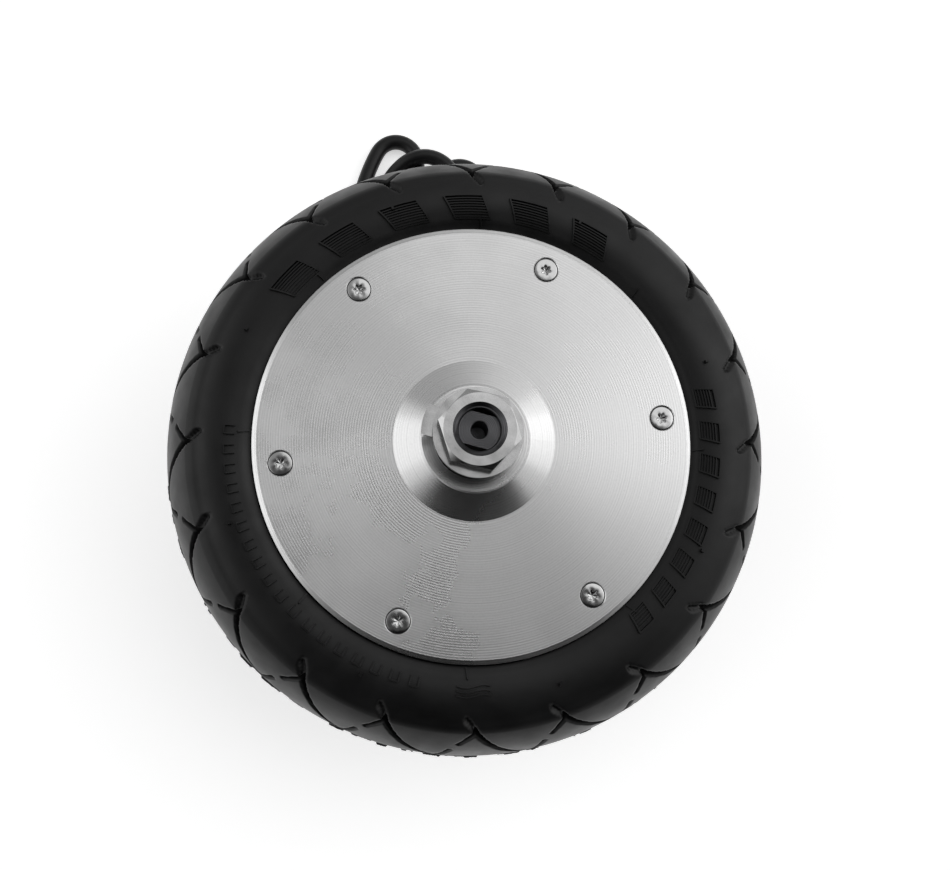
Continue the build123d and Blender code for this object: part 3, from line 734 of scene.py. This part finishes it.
def make_tyre():
    """The tyre's skin with its tread, closed by its bore and the rib in the rim's groove."""
    points, normals, across = tyre_profile()
    turn = np.arange(COLUMNS_PER_REPEAT) * REPEAT_ANGLE / COLUMNS_PER_REPEAT
    radius = points[:, :1]
    near_turn = (turn - TREAD_PHASE)[None, :] % REPEAT_ANGLE
    far_turn = (turn - TREAD_PHASE - REPEAT_ANGLE / 2)[None, :] % REPEAT_ANGLE
    side = across[:, None]
    cut = groove_depths(near_turn, side, radius) + groove_depths(far_turn, -side, radius)
    cut = np.minimum(cut, GROOVE_LIMIT)
    cut = cut + SHOULDER_STEP * smooth_step(np.abs(side), *SHOULDER_STEP_SPAN)
    on_side = np.abs(points[:, 1:]) > SHOULDER[1]
    ring = smooth_step(radius, *BEAD_RING_RISE) * (1 - smooth_step(radius, *BEAD_RING_FALL))
    cut = cut - BEAD_RING * ring * on_side
    cut = np.tile(cut, (1, TREAD_REPEATS))
    radii = points[:, :1] - cut * normals[:, :1]
    heights = points[:, 1:] - cut * normals[:, 1:]
    groove_radius, groove_height = RIM_GROOVE
    bore = [
        (BEAD[0], BEAD[1] - BEAD_LIP),
        (BEAD[0], groove_height),
        (groove_radius, groove_height),
        (groove_radius, -groove_height),
        (BEAD[0], -groove_height),
        (BEAD[0], BEAD_LIP - BEAD[1]),
    ]
    columns = radii.shape[1]
    radii = np.concatenate([radii, [[r] * columns for r, _ in bore]])
    heights = np.concatenate([heights, [[h] * columns for _, h in bore]])
    angles = ring_angles(columns)
    cloud = np.stack([radii * np.cos(angles), radii * np.sin(angles), heights], -1)
    faces = grid_faces(len(radii), columns, close_rows=True)
    tyre = make_piece("tyre_moulded", cloud.reshape(-1, 3), faces, "tread_rubber", "rotor")
    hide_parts("tyre")


def make_parting_flash():
    """The ragged fin of rubber where the mould's halves met, round the crown."""
    ragged = np.random.default_rng(FLASH_SEED)
    columns = COLUMNS_PER_REPEAT * TREAD_REPEATS
    height = np.full(columns, FLASH_BASE)
    for _ in range(FLASH_TUFTS):
        start = ragged.integers(columns)
        length = ragged.integers(*FLASH_LENGTHS)
        tuft = (start + np.arange(length)) % columns
        height[tuft] = ragged.uniform(FLASH_LOW, FLASH_HEIGHT)
    height += ragged.uniform(0.0, FLASH_RAGGED, columns)
    base = np.full(columns, TYRE_RADIUS - FLASH_SINK)
    radii = [base, TYRE_RADIUS + height, base]
    angles = ring_angles(columns)
    cloud = ring_points(radii, (-FLASH_WIDTH / 2, 0.0, FLASH_WIDTH / 2), angles)
    faces = grid_faces(3, columns, close_rows=True)
    make_piece("tyre_parting_flash", cloud.reshape(-1, 3), faces, "tread_rubber", "rotor")


make_tyre()
make_parting_flash()

# --- Moulded marks on the tyre's sides -------------------------------------------
# Angles are in degrees round the wheel and radii in millimetres. Bars are raised by
# their height and sunk by MARK_SINK.

MARK_SINK = 0.4
BAR_TOP_SHARE = 0.75

HATCH_HEIGHT = 0.28
HATCH_WIDTH = 0.42
HATCH_PITCH = 0.85
HATCH_STEP = 1.5
OUTLINE_HEIGHT = 0.5
OUTLINE_WIDTH = 0.6
OUTLINE_GAP = 0.6
OUTLINE_SHARES = (0, 0.34, 0.67, 1)
# Each row: how many blocks, the first one's angle, the step, and a block's angular
# span, inner and outer radius, and slant.
HATCHED_ROWS = (
    {"count": 6, "first": 138.0, "step": -15.5, "block": (9.0, 74.0, 80.3, 2.4)},
    {"count": 8, "first": 11.0, "step": -8.2, "block": (4.6, 73.6, 78.6, -1.2)},
)

DASH_HEIGHT = 0.6
DASH_WIDTH = 0.5
DASH_COUNT = 18
DASH_FIRST = 178.0
DASH_STEP = 4.6
DASH_SPAN = 2.0
DASH_RADII = (74.8, 78.0)

WAVE_HEIGHT = 0.6
WAVE_WIDTH = 0.6
WAVE_COUNT = 3
WAVE_RADIUS = 76.0
WAVE_SPACING = 1.4
WAVE_SWING = 0.5
WAVE_FIRST = 266.0
WAVE_STEP = 1.3
WAVE_STEPS = 7

NIB_COUNT = 8
NIB_PHASE = 19.4
NIB_RADIUS = 80.0
NIB_LENGTH = 1.0
NIB_WIDTH = 1.0
NIB_HEIGHT = 1.1

SPUR_PHASE = -2.0
SPUR_SLANT = 0.4
SPUR_RADII = (70.6, 74.0)
SPUR_WIDTH = 0.5
SPUR_HEIGHT = 0.6

wall_points, wall_normals, _ = tyre_profile()
near_wall = wall_points[:, 1] > SHOULDER[1]
wall_order = np.argsort(wall_points[near_wall, 0])
WALL_RADII = wall_points[near_wall, 0][wall_order]
WALL_HEIGHTS = wall_points[near_wall, 1][wall_order]
WALL_OUT = wall_normals[near_wall][wall_order]


def on_wall(radius, angle, lift, side):
    """A point this far above the tyre's side, at a radius and an angle in degrees."""
    height = np.interp(radius, WALL_RADII, WALL_HEIGHTS)
    out_radius = np.interp(radius, WALL_RADII, WALL_OUT[:, 0])
    out_height = np.interp(radius, WALL_RADII, WALL_OUT[:, 1])
    r = radius + lift * out_radius
    turn = math.radians(angle) * side
    return (r * math.cos(turn), r * math.sin(turn), side * (height + lift * out_height))


def add_bar(points, faces, route, width, height, side):
    """A raised bar along a route of (radius, angle) steps on the tyre's side."""
    first = len(points)
    places = [Vector(step) for step in route]
    for index, place in enumerate(places):
        before = places[max(index - 1, 0)]
        after = places[min(index + 1, len(places) - 1)]
        along = Vector((after.x - before.x, math.radians(after.y - before.y) * place.x))
        along.normalize()
        across = Vector((-along.y, along.x)) * width / 2
        for share, lift in (
            (1, -MARK_SINK),
            (BAR_TOP_SHARE, height),
            (-BAR_TOP_SHARE, height),
            (-1, -MARK_SINK),
        ):
            radius = place.x + share * across.x
            angle = place.y + math.degrees(share * across.y / place.x)
            points.append(on_wall(radius, angle, lift, side))
    for index in range(len(places) - 1):
        here = first + 4 * index
        for corner in range(4):
            nxt = (corner + 1) % 4
            faces.append((here + corner, here + nxt, here + 4 + nxt, here + 4 + corner))
    end = first + 4 * (len(places) - 1)
    faces.append((first + 3, first + 2, first + 1, first))
    faces.append((end, end + 1, end + 2, end + 3))


def hatched_block(points, faces, angle, span, inner, outer, slant, side):
    """A slanted block of close bars that run round the tyre, with a raised outline."""
    radius = inner
    while radius <= outer:
        start = angle + slant * (radius - inner) / (outer - inner) - slant / 2 - span / 2
        steps = max(2, round(span / HATCH_STEP) + 1)
        route = [(radius, start + span * k / (steps - 1)) for k in range(steps)]
        add_bar(points, faces, route, HATCH_WIDTH, HATCH_HEIGHT, side)
        radius += HATCH_PITCH
    left, right = angle - slant / 2 - span / 2, angle - slant / 2 + span / 2
    low, high = inner - OUTLINE_GAP, outer + OUTLINE_GAP
    corners = [(low, left), (high, left + slant), (high, right + slant), (low, right)]
    for start, end in zip(corners, corners[1:] + corners[:1]):
        along = np.array(end) - start
        route = [np.array(start) + share * along for share in OUTLINE_SHARES]
        add_bar(points, faces, route, OUTLINE_WIDTH, OUTLINE_HEIGHT, side)


def dash_block(points, faces, angle, side):
    """A small raised outline, open towards the axle."""
    inner, outer = DASH_RADII
    left, right = angle - DASH_SPAN / 2, angle + DASH_SPAN / 2
    for route in (
        [(inner, left), (outer, left)],
        [(inner, right), (outer, right)],
        [(outer, left), (outer, right)],
    ):
        add_bar(points, faces, route, DASH_WIDTH, DASH_HEIGHT, side)


def wave_line(points, faces, index, side):
    """One of the raised waves that run round the tyre."""
    middle = WAVE_RADIUS + WAVE_SPACING * index
    route = [
        (middle + WAVE_SWING * math.sin(k), WAVE_FIRST + WAVE_STEP * k) for k in range(WAVE_STEPS)
    ]
    add_bar(points, faces, route, WAVE_WIDTH, WAVE_HEIGHT, side)


def nib_and_spur(points, faces, index, side):
    """The stub of a mould vent on the side, and a short ridge by the bead."""
    inner, outer = NIB_RADIUS - NIB_LENGTH / 2, NIB_RADIUS + NIB_LENGTH / 2
    angle = NIB_PHASE + index * 360.0 / NIB_COUNT
    add_bar(points, faces, [(inner, angle), (outer, angle)], NIB_WIDTH, NIB_HEIGHT, side)
    inner, outer = SPUR_RADII
    angle = SPUR_PHASE + index * 360.0 / NIB_COUNT
    route = [(inner, angle), (outer, angle + SPUR_SLANT)]
    add_bar(points, faces, route, SPUR_WIDTH, SPUR_HEIGHT, side)


def make_side_marks(name, side):
    """Generic raised blocks, dashes and waves, vent nibs and ridges on one side."""
    points, faces = [], []
    for row in HATCHED_ROWS:
        for index in range(row["count"]):
            angle = row["first"] + row["step"] * index
            hatched_block(points, faces, angle, *row["block"], side)
    for index in range(DASH_COUNT):
        dash_block(points, faces, DASH_FIRST + DASH_STEP * index, side)
    for index in range(WAVE_COUNT):
        wave_line(points, faces, index, side)
    for index in range(NIB_COUNT):
        nib_and_spur(points, faces, index, side)
    make_piece(name, points, faces, "tread_rubber", "rotor", smooth=False)


make_side_marks("tyre_side_marks_front", 1)
make_side_marks("tyre_side_marks_rear", -1)

# --- Axle and nut threads --------------------------------------------------------

THREAD_PITCH = 1.5
THREAD_RADIUS = 7.0
THREAD_DEPTH = 0.85
THREAD_STEP = 0.15
# The thread deepens over THREAD_RUN_IN, from THREAD_FIRST_SHARE of its depth.
THREAD_RUN_IN = 0.8
THREAD_FIRST_SHARE = 0.05
FLAT_ANGLE = -14.6
FLAT_HALF = 5.0
AXLE_COLUMNS = 128
SHARP_ANGLE = 32.0

# The axle from its front end to its rear end, as (radius, height) rows, and its two
# threads and their flats, as the heights where they start and end.
CENTRE_HOLE = [
    (0.02, 37.0),
    (2.3, 37.6),
    (2.5, 38.2),
    (2.5, 47.2),
    (2.8, 47.5),
    (5.2, 47.5),
]
FRONT_CHAMFER = [(6.35, 47.5), (6.85, 47.05)]
FRONT_THREAD = (46.8, 31.7)
FRONT_FLATS = (47.0, 31.5)
FRONT_NECK = [(6.2, 31.5)]
JOURNALS = [
    (8.3, 31.5),
    (8.5, 31.3),
    (8.5, 16.5),
    (10.3, 16.5),
    (10.5, 16.3),
    (10.5, -16.3),
    (10.3, -16.5),
    (8.5, -16.5),
    (8.5, -42.8),
    (8.3, -43.0),
]
REAR_NECK = [(6.2, -43.0)]
REAR_THREAD = (-43.1, -54.5)
REAR_FLATS = (-43.0, -51.0)
REAR_END = [
    (6.6, -54.7),
    (6.0, -55.0),
    (6.0, -59.4),
    (5.4, -60.0),
    (4.3, -60.0),
    (3.8, -59.6),
    (3.8, -40.0),
    (0.02, -39.0),
]

# A nut's thread: its gap to the axle's, its depth, where it starts and ends, and the
# ring that closes it at the mouth.
NUT_CLEARANCE = 0.04
NUT_THREAD_DEPTH = 0.68
NUT_THREAD_INSET = 0.4
NUT_MOUTH_DEPTH = 1.1
NUT_MOUTH_RADIUS = 8.1
NUT_MOUTH_GAP = 0.03
NUT_MOUTH_FOOT = 0.06
NUT_WALL = 0.3
NUT_WALL_DROP = 0.3
NUT_MOUTH_WALL = 0.2


def thread_cut(heights, angles):
    """From 0 on the thread's crest to 1 in its root, right-handed."""
    share = (heights[:, None] / THREAD_PITCH - angles[None, :] / (2 * math.pi)) % 1.0
    return 1 - np.abs(2 * share - 1)


def plain_rows(profile, flats=False):
    """Rows of radius, height, share of the thread's depth and whether flats cut them."""
    return [(radius, height, 0.0, flats) for radius, height in profile]


def thread_rows(start, end, flat_from, flat_to):
    """Rows down a threaded length, with flats between two heights."""
    rows = []
    for height in np.linspace(start, end, max(2, round(abs(end - start) / THREAD_STEP))):
        share = min(1.0, abs(height - start) / THREAD_RUN_IN + THREAD_FIRST_SHARE)
        rows.append((THREAD_RADIUS, height, share, flat_to <= height <= flat_from))
    return rows


def make_axle():
    """The axle with its threads, flats, journals and drilled ends, as one skin."""
    rows = plain_rows(CENTRE_HOLE) + plain_rows(FRONT_CHAMFER, flats=True)
    rows += thread_rows(*FRONT_THREAD, *FRONT_FLATS) + plain_rows(FRONT_NECK, flats=True)
    rows += plain_rows(JOURNALS) + plain_rows(REAR_NECK, flats=True)
    rows += thread_rows(*REAR_THREAD, *REAR_FLATS) + plain_rows(REAR_END)
    radii, heights, threaded, flat = (np.array(column) for column in zip(*rows))
    angles = ring_angles(AXLE_COLUMNS)
    radii = radii[:, None] - THREAD_DEPTH * threaded[:, None] * thread_cut(heights, angles)
    reach = FLAT_HALF / np.maximum(np.abs(np.sin(angles - math.radians(FLAT_ANGLE))), 1e-6)
    radii[flat] = np.minimum(radii[flat], reach)
    cloud = ring_points(radii, heights, angles).reshape(-1, 3)
    faces = grid_faces(len(rows), AXLE_COLUMNS) + end_faces(len(rows), AXLE_COLUMNS)
    axle = make_piece("axle_turned", cloud, flipped(faces), "axle_steel", "stator")
    axle.data.set_sharp_from_angle(angle=math.radians(SHARP_ANGLE))
    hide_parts("axle")


def make_nut_thread(name, body, start, end, mouth):
    """The thread inside a nut, in mesh with the axle's, and its open mouth, in the axle's dark
    steel as painted shade inside the nut.
    """
    angles = ring_angles(AXLE_COLUMNS)
    heights = np.linspace(start, end, round(abs(end - start) / THREAD_STEP))
    inner = THREAD_RADIUS + NUT_CLEARANCE - NUT_THREAD_DEPTH * thread_cut(heights, angles)
    drop = (mouth - end) * NUT_WALL_DROP
    rim = [
        (THREAD_RADIUS, end + (mouth - end) * NUT_MOUTH_FOOT),
        (NUT_MOUTH_RADIUS - NUT_MOUTH_GAP, mouth),
        (NUT_MOUTH_RADIUS + NUT_MOUTH_WALL, mouth - drop),
        (THREAD_RADIUS + NUT_WALL, end - drop),
        (THREAD_RADIUS + NUT_WALL, start),
    ]
    radii = np.concatenate([inner, [[radius] * AXLE_COLUMNS for radius, _ in rim]])
    heights = np.concatenate([heights, [height for _, height in rim]])
    cloud = ring_points(radii, heights, angles).reshape(-1, 3)
    faces = grid_faces(len(radii), AXLE_COLUMNS, close_rows=True)
    if mouth > end:
        faces = flipped(faces)
    # The axle's dark steel here is painted shade inside the nut's bore and mouth.
    piece = make_piece(name, cloud, faces, "axle_steel", body)
    piece.data.set_sharp_from_angle(angle=math.radians(SHARP_ANGLE))


make_axle()
front_nut_low, front_nut_high = (corner.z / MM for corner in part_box("front_nut"))
rear_nut_low, rear_nut_high = (corner.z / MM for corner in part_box("rear_nut"))
make_nut_thread(
    "front_nut_thread",
    "front_nut",
    start=front_nut_low + NUT_THREAD_INSET,
    end=front_nut_high - NUT_MOUTH_DEPTH,
    mouth=front_nut_high,
)
make_nut_thread(
    "rear_nut_thread",
    "rear_nut",
    start=rear_nut_high - NUT_THREAD_INSET,
    end=rear_nut_low + NUT_MOUTH_DEPTH,
    mouth=rear_nut_low,
)

# --- Cover screws ----------------------------------------------------------------

# The screws' places and how far each socket is turned, in degrees, and their sizes.
SCREW_CIRCLE = 61.0
SCREW_PHASE = 7.4
SCREW_COUNT = 6
SCREW_COLUMNS = 72
SCREW_TURNS = (11.0, 38.0, 3.0, 52.0, 24.0, 44.0)
SCREW_RADIUS = 2.0
SCREW_TIP = 0.6
HEAD_RADIUS = 3.7
HEAD_CONE_TOP = -0.3
SOCKET_RADIUS = 1.42
SOCKET_WAVE = 0.27
SOCKET_LOBES = 6
SEAT_TOP = -0.1
SEAT_WIDTH = 0.42


def screw_span(node, side):
    """The lowest and highest point of the screws' CAD node, as seen from their side."""
    return sorted(corner.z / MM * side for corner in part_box(node))


def at_screw(cloud, index):
    """Points moved from the axis to the place of one screw."""
    place = math.radians(SCREW_PHASE + index * 360.0 / SCREW_COUNT)
    return cloud + (SCREW_CIRCLE * math.cos(place), SCREW_CIRCLE * math.sin(place), 0.0)


def screw_piece(name, points, faces, slot, side):
    """One piece from the points of all the screws on a side."""
    cloud = np.concatenate(points) * (1.0, 1.0, side)
    if side > 0:
        faces = flipped(faces)
    return make_piece(name, cloud, faces, slot, "rotor")


def make_screws(name, node, side):
    """Countersunk screws with a six-lobe socket and a rounded rim."""
    low, top = screw_span(node, side)
    angles = ring_angles(SCREW_COLUMNS)
    lobes = SOCKET_RADIUS + SOCKET_WAVE * np.cos(SOCKET_LOBES * angles)
    round_ring = np.ones(SCREW_COLUMNS)
    # from the socket's floor over the head to the tip: radii and height above the head
    rows = [
        (0.02 * round_ring, -1.9),
        (0.75 * lobes, -1.55),
        (0.96 * lobes, -1.5),
        (lobes, -0.2),
        (lobes + 0.16, -0.02),
        (lobes + 0.3, 0.0),
        (HEAD_RADIUS * round_ring - 0.25, 0.0),
        (HEAD_RADIUS * round_ring - 0.07, -0.06),
        (HEAD_RADIUS * round_ring, -0.2),
        (HEAD_RADIUS * round_ring, HEAD_CONE_TOP),
        (SCREW_RADIUS * round_ring, HEAD_CONE_TOP + SCREW_RADIUS - HEAD_RADIUS),
        (SCREW_RADIUS * round_ring, low - top + SCREW_TIP),
        (SCREW_RADIUS * round_ring - SCREW_TIP, low - top),
        (0.02 * round_ring, low - top),
    ]
    radii = np.array([row[0] for row in rows])
    heights = np.array([row[1] for row in rows])
    points, faces = [], []
    for index, turned in enumerate(SCREW_TURNS):
        cloud = ring_points(radii, heights + top, angles + math.radians(turned))
        points.append(at_screw(cloud, index).reshape(-1, 3))
        first = index * len(rows) * SCREW_COLUMNS
        faces += grid_faces(len(rows), SCREW_COLUMNS, first)
        faces += end_faces(len(rows), SCREW_COLUMNS, first)
    screws = screw_piece(name, points, faces, "zinc_steel", side)
    screws.data.set_sharp_from_angle(angle=math.radians(SHARP_ANGLE))
    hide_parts(node)


def make_screw_gap_shade(name, node, side):
    """A black ring in the gap between each screw head and its countersink, as painted shade in the
    gap.
    """
    top = screw_span(node, side)[1]
    outer = HEAD_RADIUS + SEAT_WIDTH
    section = [
        (HEAD_RADIUS - 0.1, SEAT_TOP),
        (outer - 0.1, SEAT_TOP + 0.02),
        (outer - 0.5, SEAT_TOP - 0.5),
        (HEAD_RADIUS - 0.7, SEAT_TOP - 0.8),
    ]
    radii = [[radius] * SCREW_COLUMNS for radius, _ in section]
    cloud = ring_points(radii, [top + height for _, height in section], ring_angles(SCREW_COLUMNS))
    points, faces = [], []
    for index in range(SCREW_COUNT):
        points.append(at_screw(cloud, index).reshape(-1, 3))
        first = index * len(section) * SCREW_COLUMNS
        faces += grid_faces(len(section), SCREW_COLUMNS, first, close_rows=True)
    screw_piece(name, points, faces, "black_rubber", side)


make_screws("front_screws", "front_cover_screws", 1)
make_screws("rear_screws", "rear_cover_screws", -1)
# Black rings of painted shade in the gaps round the screw heads.
make_screw_gap_shade("front_screw_gap_shade", "front_cover_screws", 1)
make_screw_gap_shade("rear_screw_gap_shade", "rear_cover_screws", -1)

# --- Floor, world and lights -----------------------------------------------------

# The floor, in metres. It glows and fades from FLOOR_COLOUR to FLOOR_FAR between the
# two distances of FLOOR_LIT from FLOOR_MIDDLE.
FLOOR_SIZE = 30.0
FLOOR_MIDDLE = (0.0, 0.35, 0.0)
FLOOR_LIT = (0.55, 2.6)
FLOOR_FAR = (0.5, 0.5, 0.5)
FLOOR_GLOW = 0.56
FLOOR_COLOUR = (0.86, 0.86, 0.86)

# The studio's light outside its lobes. Each lobe: azimuth and elevation of the middle,
# where it is full and where it ends, in degrees, and what it multiplies the sky by.
SKY = 0.4
SKY_LOBES = [
    (275.0, 40.0, 34.0, 43.0, 0.03),
    (250.0, 83.0, 6.0, 25.0, 0.2),
    (177.0, 28.0, 26.0, 38.0, 2.3),
    (3.0, 28.0, 30.0, 40.0, 1.6),
    (47.0, 48.0, 33.0, 37.0, 2.0),
]


# Soft boxes: name, place and size in metres, and power in watts.
LIGHTS = [
    ("softbox_left", (-1.1, 0.1, 0.65), (0.9, 0.9), 1.0),
    ("softbox_right", (1.1, 0.15, 0.75), (0.9, 0.9), 1.2),
    ("softbox_top", (0.5, 0.55, 1.3), (1.2, 1.0), 1.5),
]


def make_floor():
    half = FLOOR_SIZE / 2
    mesh = bpy.data.meshes.new("floor")
    corners = [(-half, -half), (half, -half), (half, half), (-half, half)]
    mesh.from_pydata([(x, y, FLOOR_HEIGHT) for x, y in corners], [], [(0, 1, 2, 3)])
    material = new_material("floor", FLOOR_COLOUR, 0.7)
    shader = principled(material)
    shader.inputs["Emission Color"].default_value = (1.0, 1.0, 1.0, 1.0)
    away = add_node(material, "ShaderNodeVectorMath", operation="DISTANCE")
    away.inputs[1].default_value = FLOOR_MIDDLE
    link(material, object_place(material), away.inputs[0])
    lit = remap(material, away.outputs["Value"], 1.0, 0.0, *FLOOR_LIT)
    colour_between(material, lit, FLOOR_FAR, FLOOR_COLOUR)
    glow = math_node(material, "MULTIPLY", lit, FLOOR_GLOW)
    link(material, glow, shader.inputs["Emission Strength"])
    mesh.materials.append(material)
    floor = bpy.data.objects.new("floor", mesh)
    scene.collection.objects.link(floor)


def make_world():
    """A pale studio, brighter at the sides and dark where the photographer stands."""
    world = bpy.data.worlds.new("studio")
    scene.world = world
    world.use_nodes = True
    nodes = world.node_tree.nodes
    links = world.node_tree.links
    direction = nodes.new("ShaderNodeTexCoord").outputs["Generated"]
    strength = None
    for azimuth, elevation, full, end, factor in SKY_LOBES:
        turn, rise = math.radians(azimuth), math.radians(elevation)
        towards = nodes.new("ShaderNodeVectorMath")
        towards.operation = "DOT_PRODUCT"
        towards.inputs[1].default_value = (
            math.cos(turn) * math.cos(rise),
            math.sin(turn) * math.cos(rise),
            math.sin(rise),
        )
        links.new(direction, towards.inputs[0])
        lobe = nodes.new("ShaderNodeMapRange")
        lobe.interpolation_type = "SMOOTHSTEP"
        lobe.inputs["From Min"].default_value = math.cos(math.radians(end))
        lobe.inputs["From Max"].default_value = math.cos(math.radians(full))
        lobe.inputs["To Min"].default_value = 1.0
        lobe.inputs["To Max"].default_value = factor
        links.new(towards.outputs["Value"], lobe.inputs["Value"])
        product = nodes.new("ShaderNodeMath")
        product.operation = "MULTIPLY"
        product.inputs[1].default_value = SKY
        links.new(lobe.outputs["Result"], product.inputs[0])
        if strength:
            links.new(strength, product.inputs[1])
        strength = product.outputs[0]
    links.new(strength, nodes["Background"].inputs["Strength"])
    nodes["Background"].inputs["Color"].default_value = (1.0, 1.0, 1.0, 1.0)


def make_light(name, place, size, power):
    light = bpy.data.lights.new(name, "AREA")
    light.shape = "RECTANGLE"
    light.size, light.size_y = size
    light.energy = power
    lamp = bpy.data.objects.new(name, light)
    scene.collection.objects.link(lamp)
    aim(lamp, Vector(place), Vector((0, 0, 0)), Vector((0, 1, 0.01)))


make_floor()
make_world()
for light_settings in LIGHTS:
    make_light(*light_settings)
scene.view_settings.view_transform = "Standard"
scene.view_settings.look = "None"
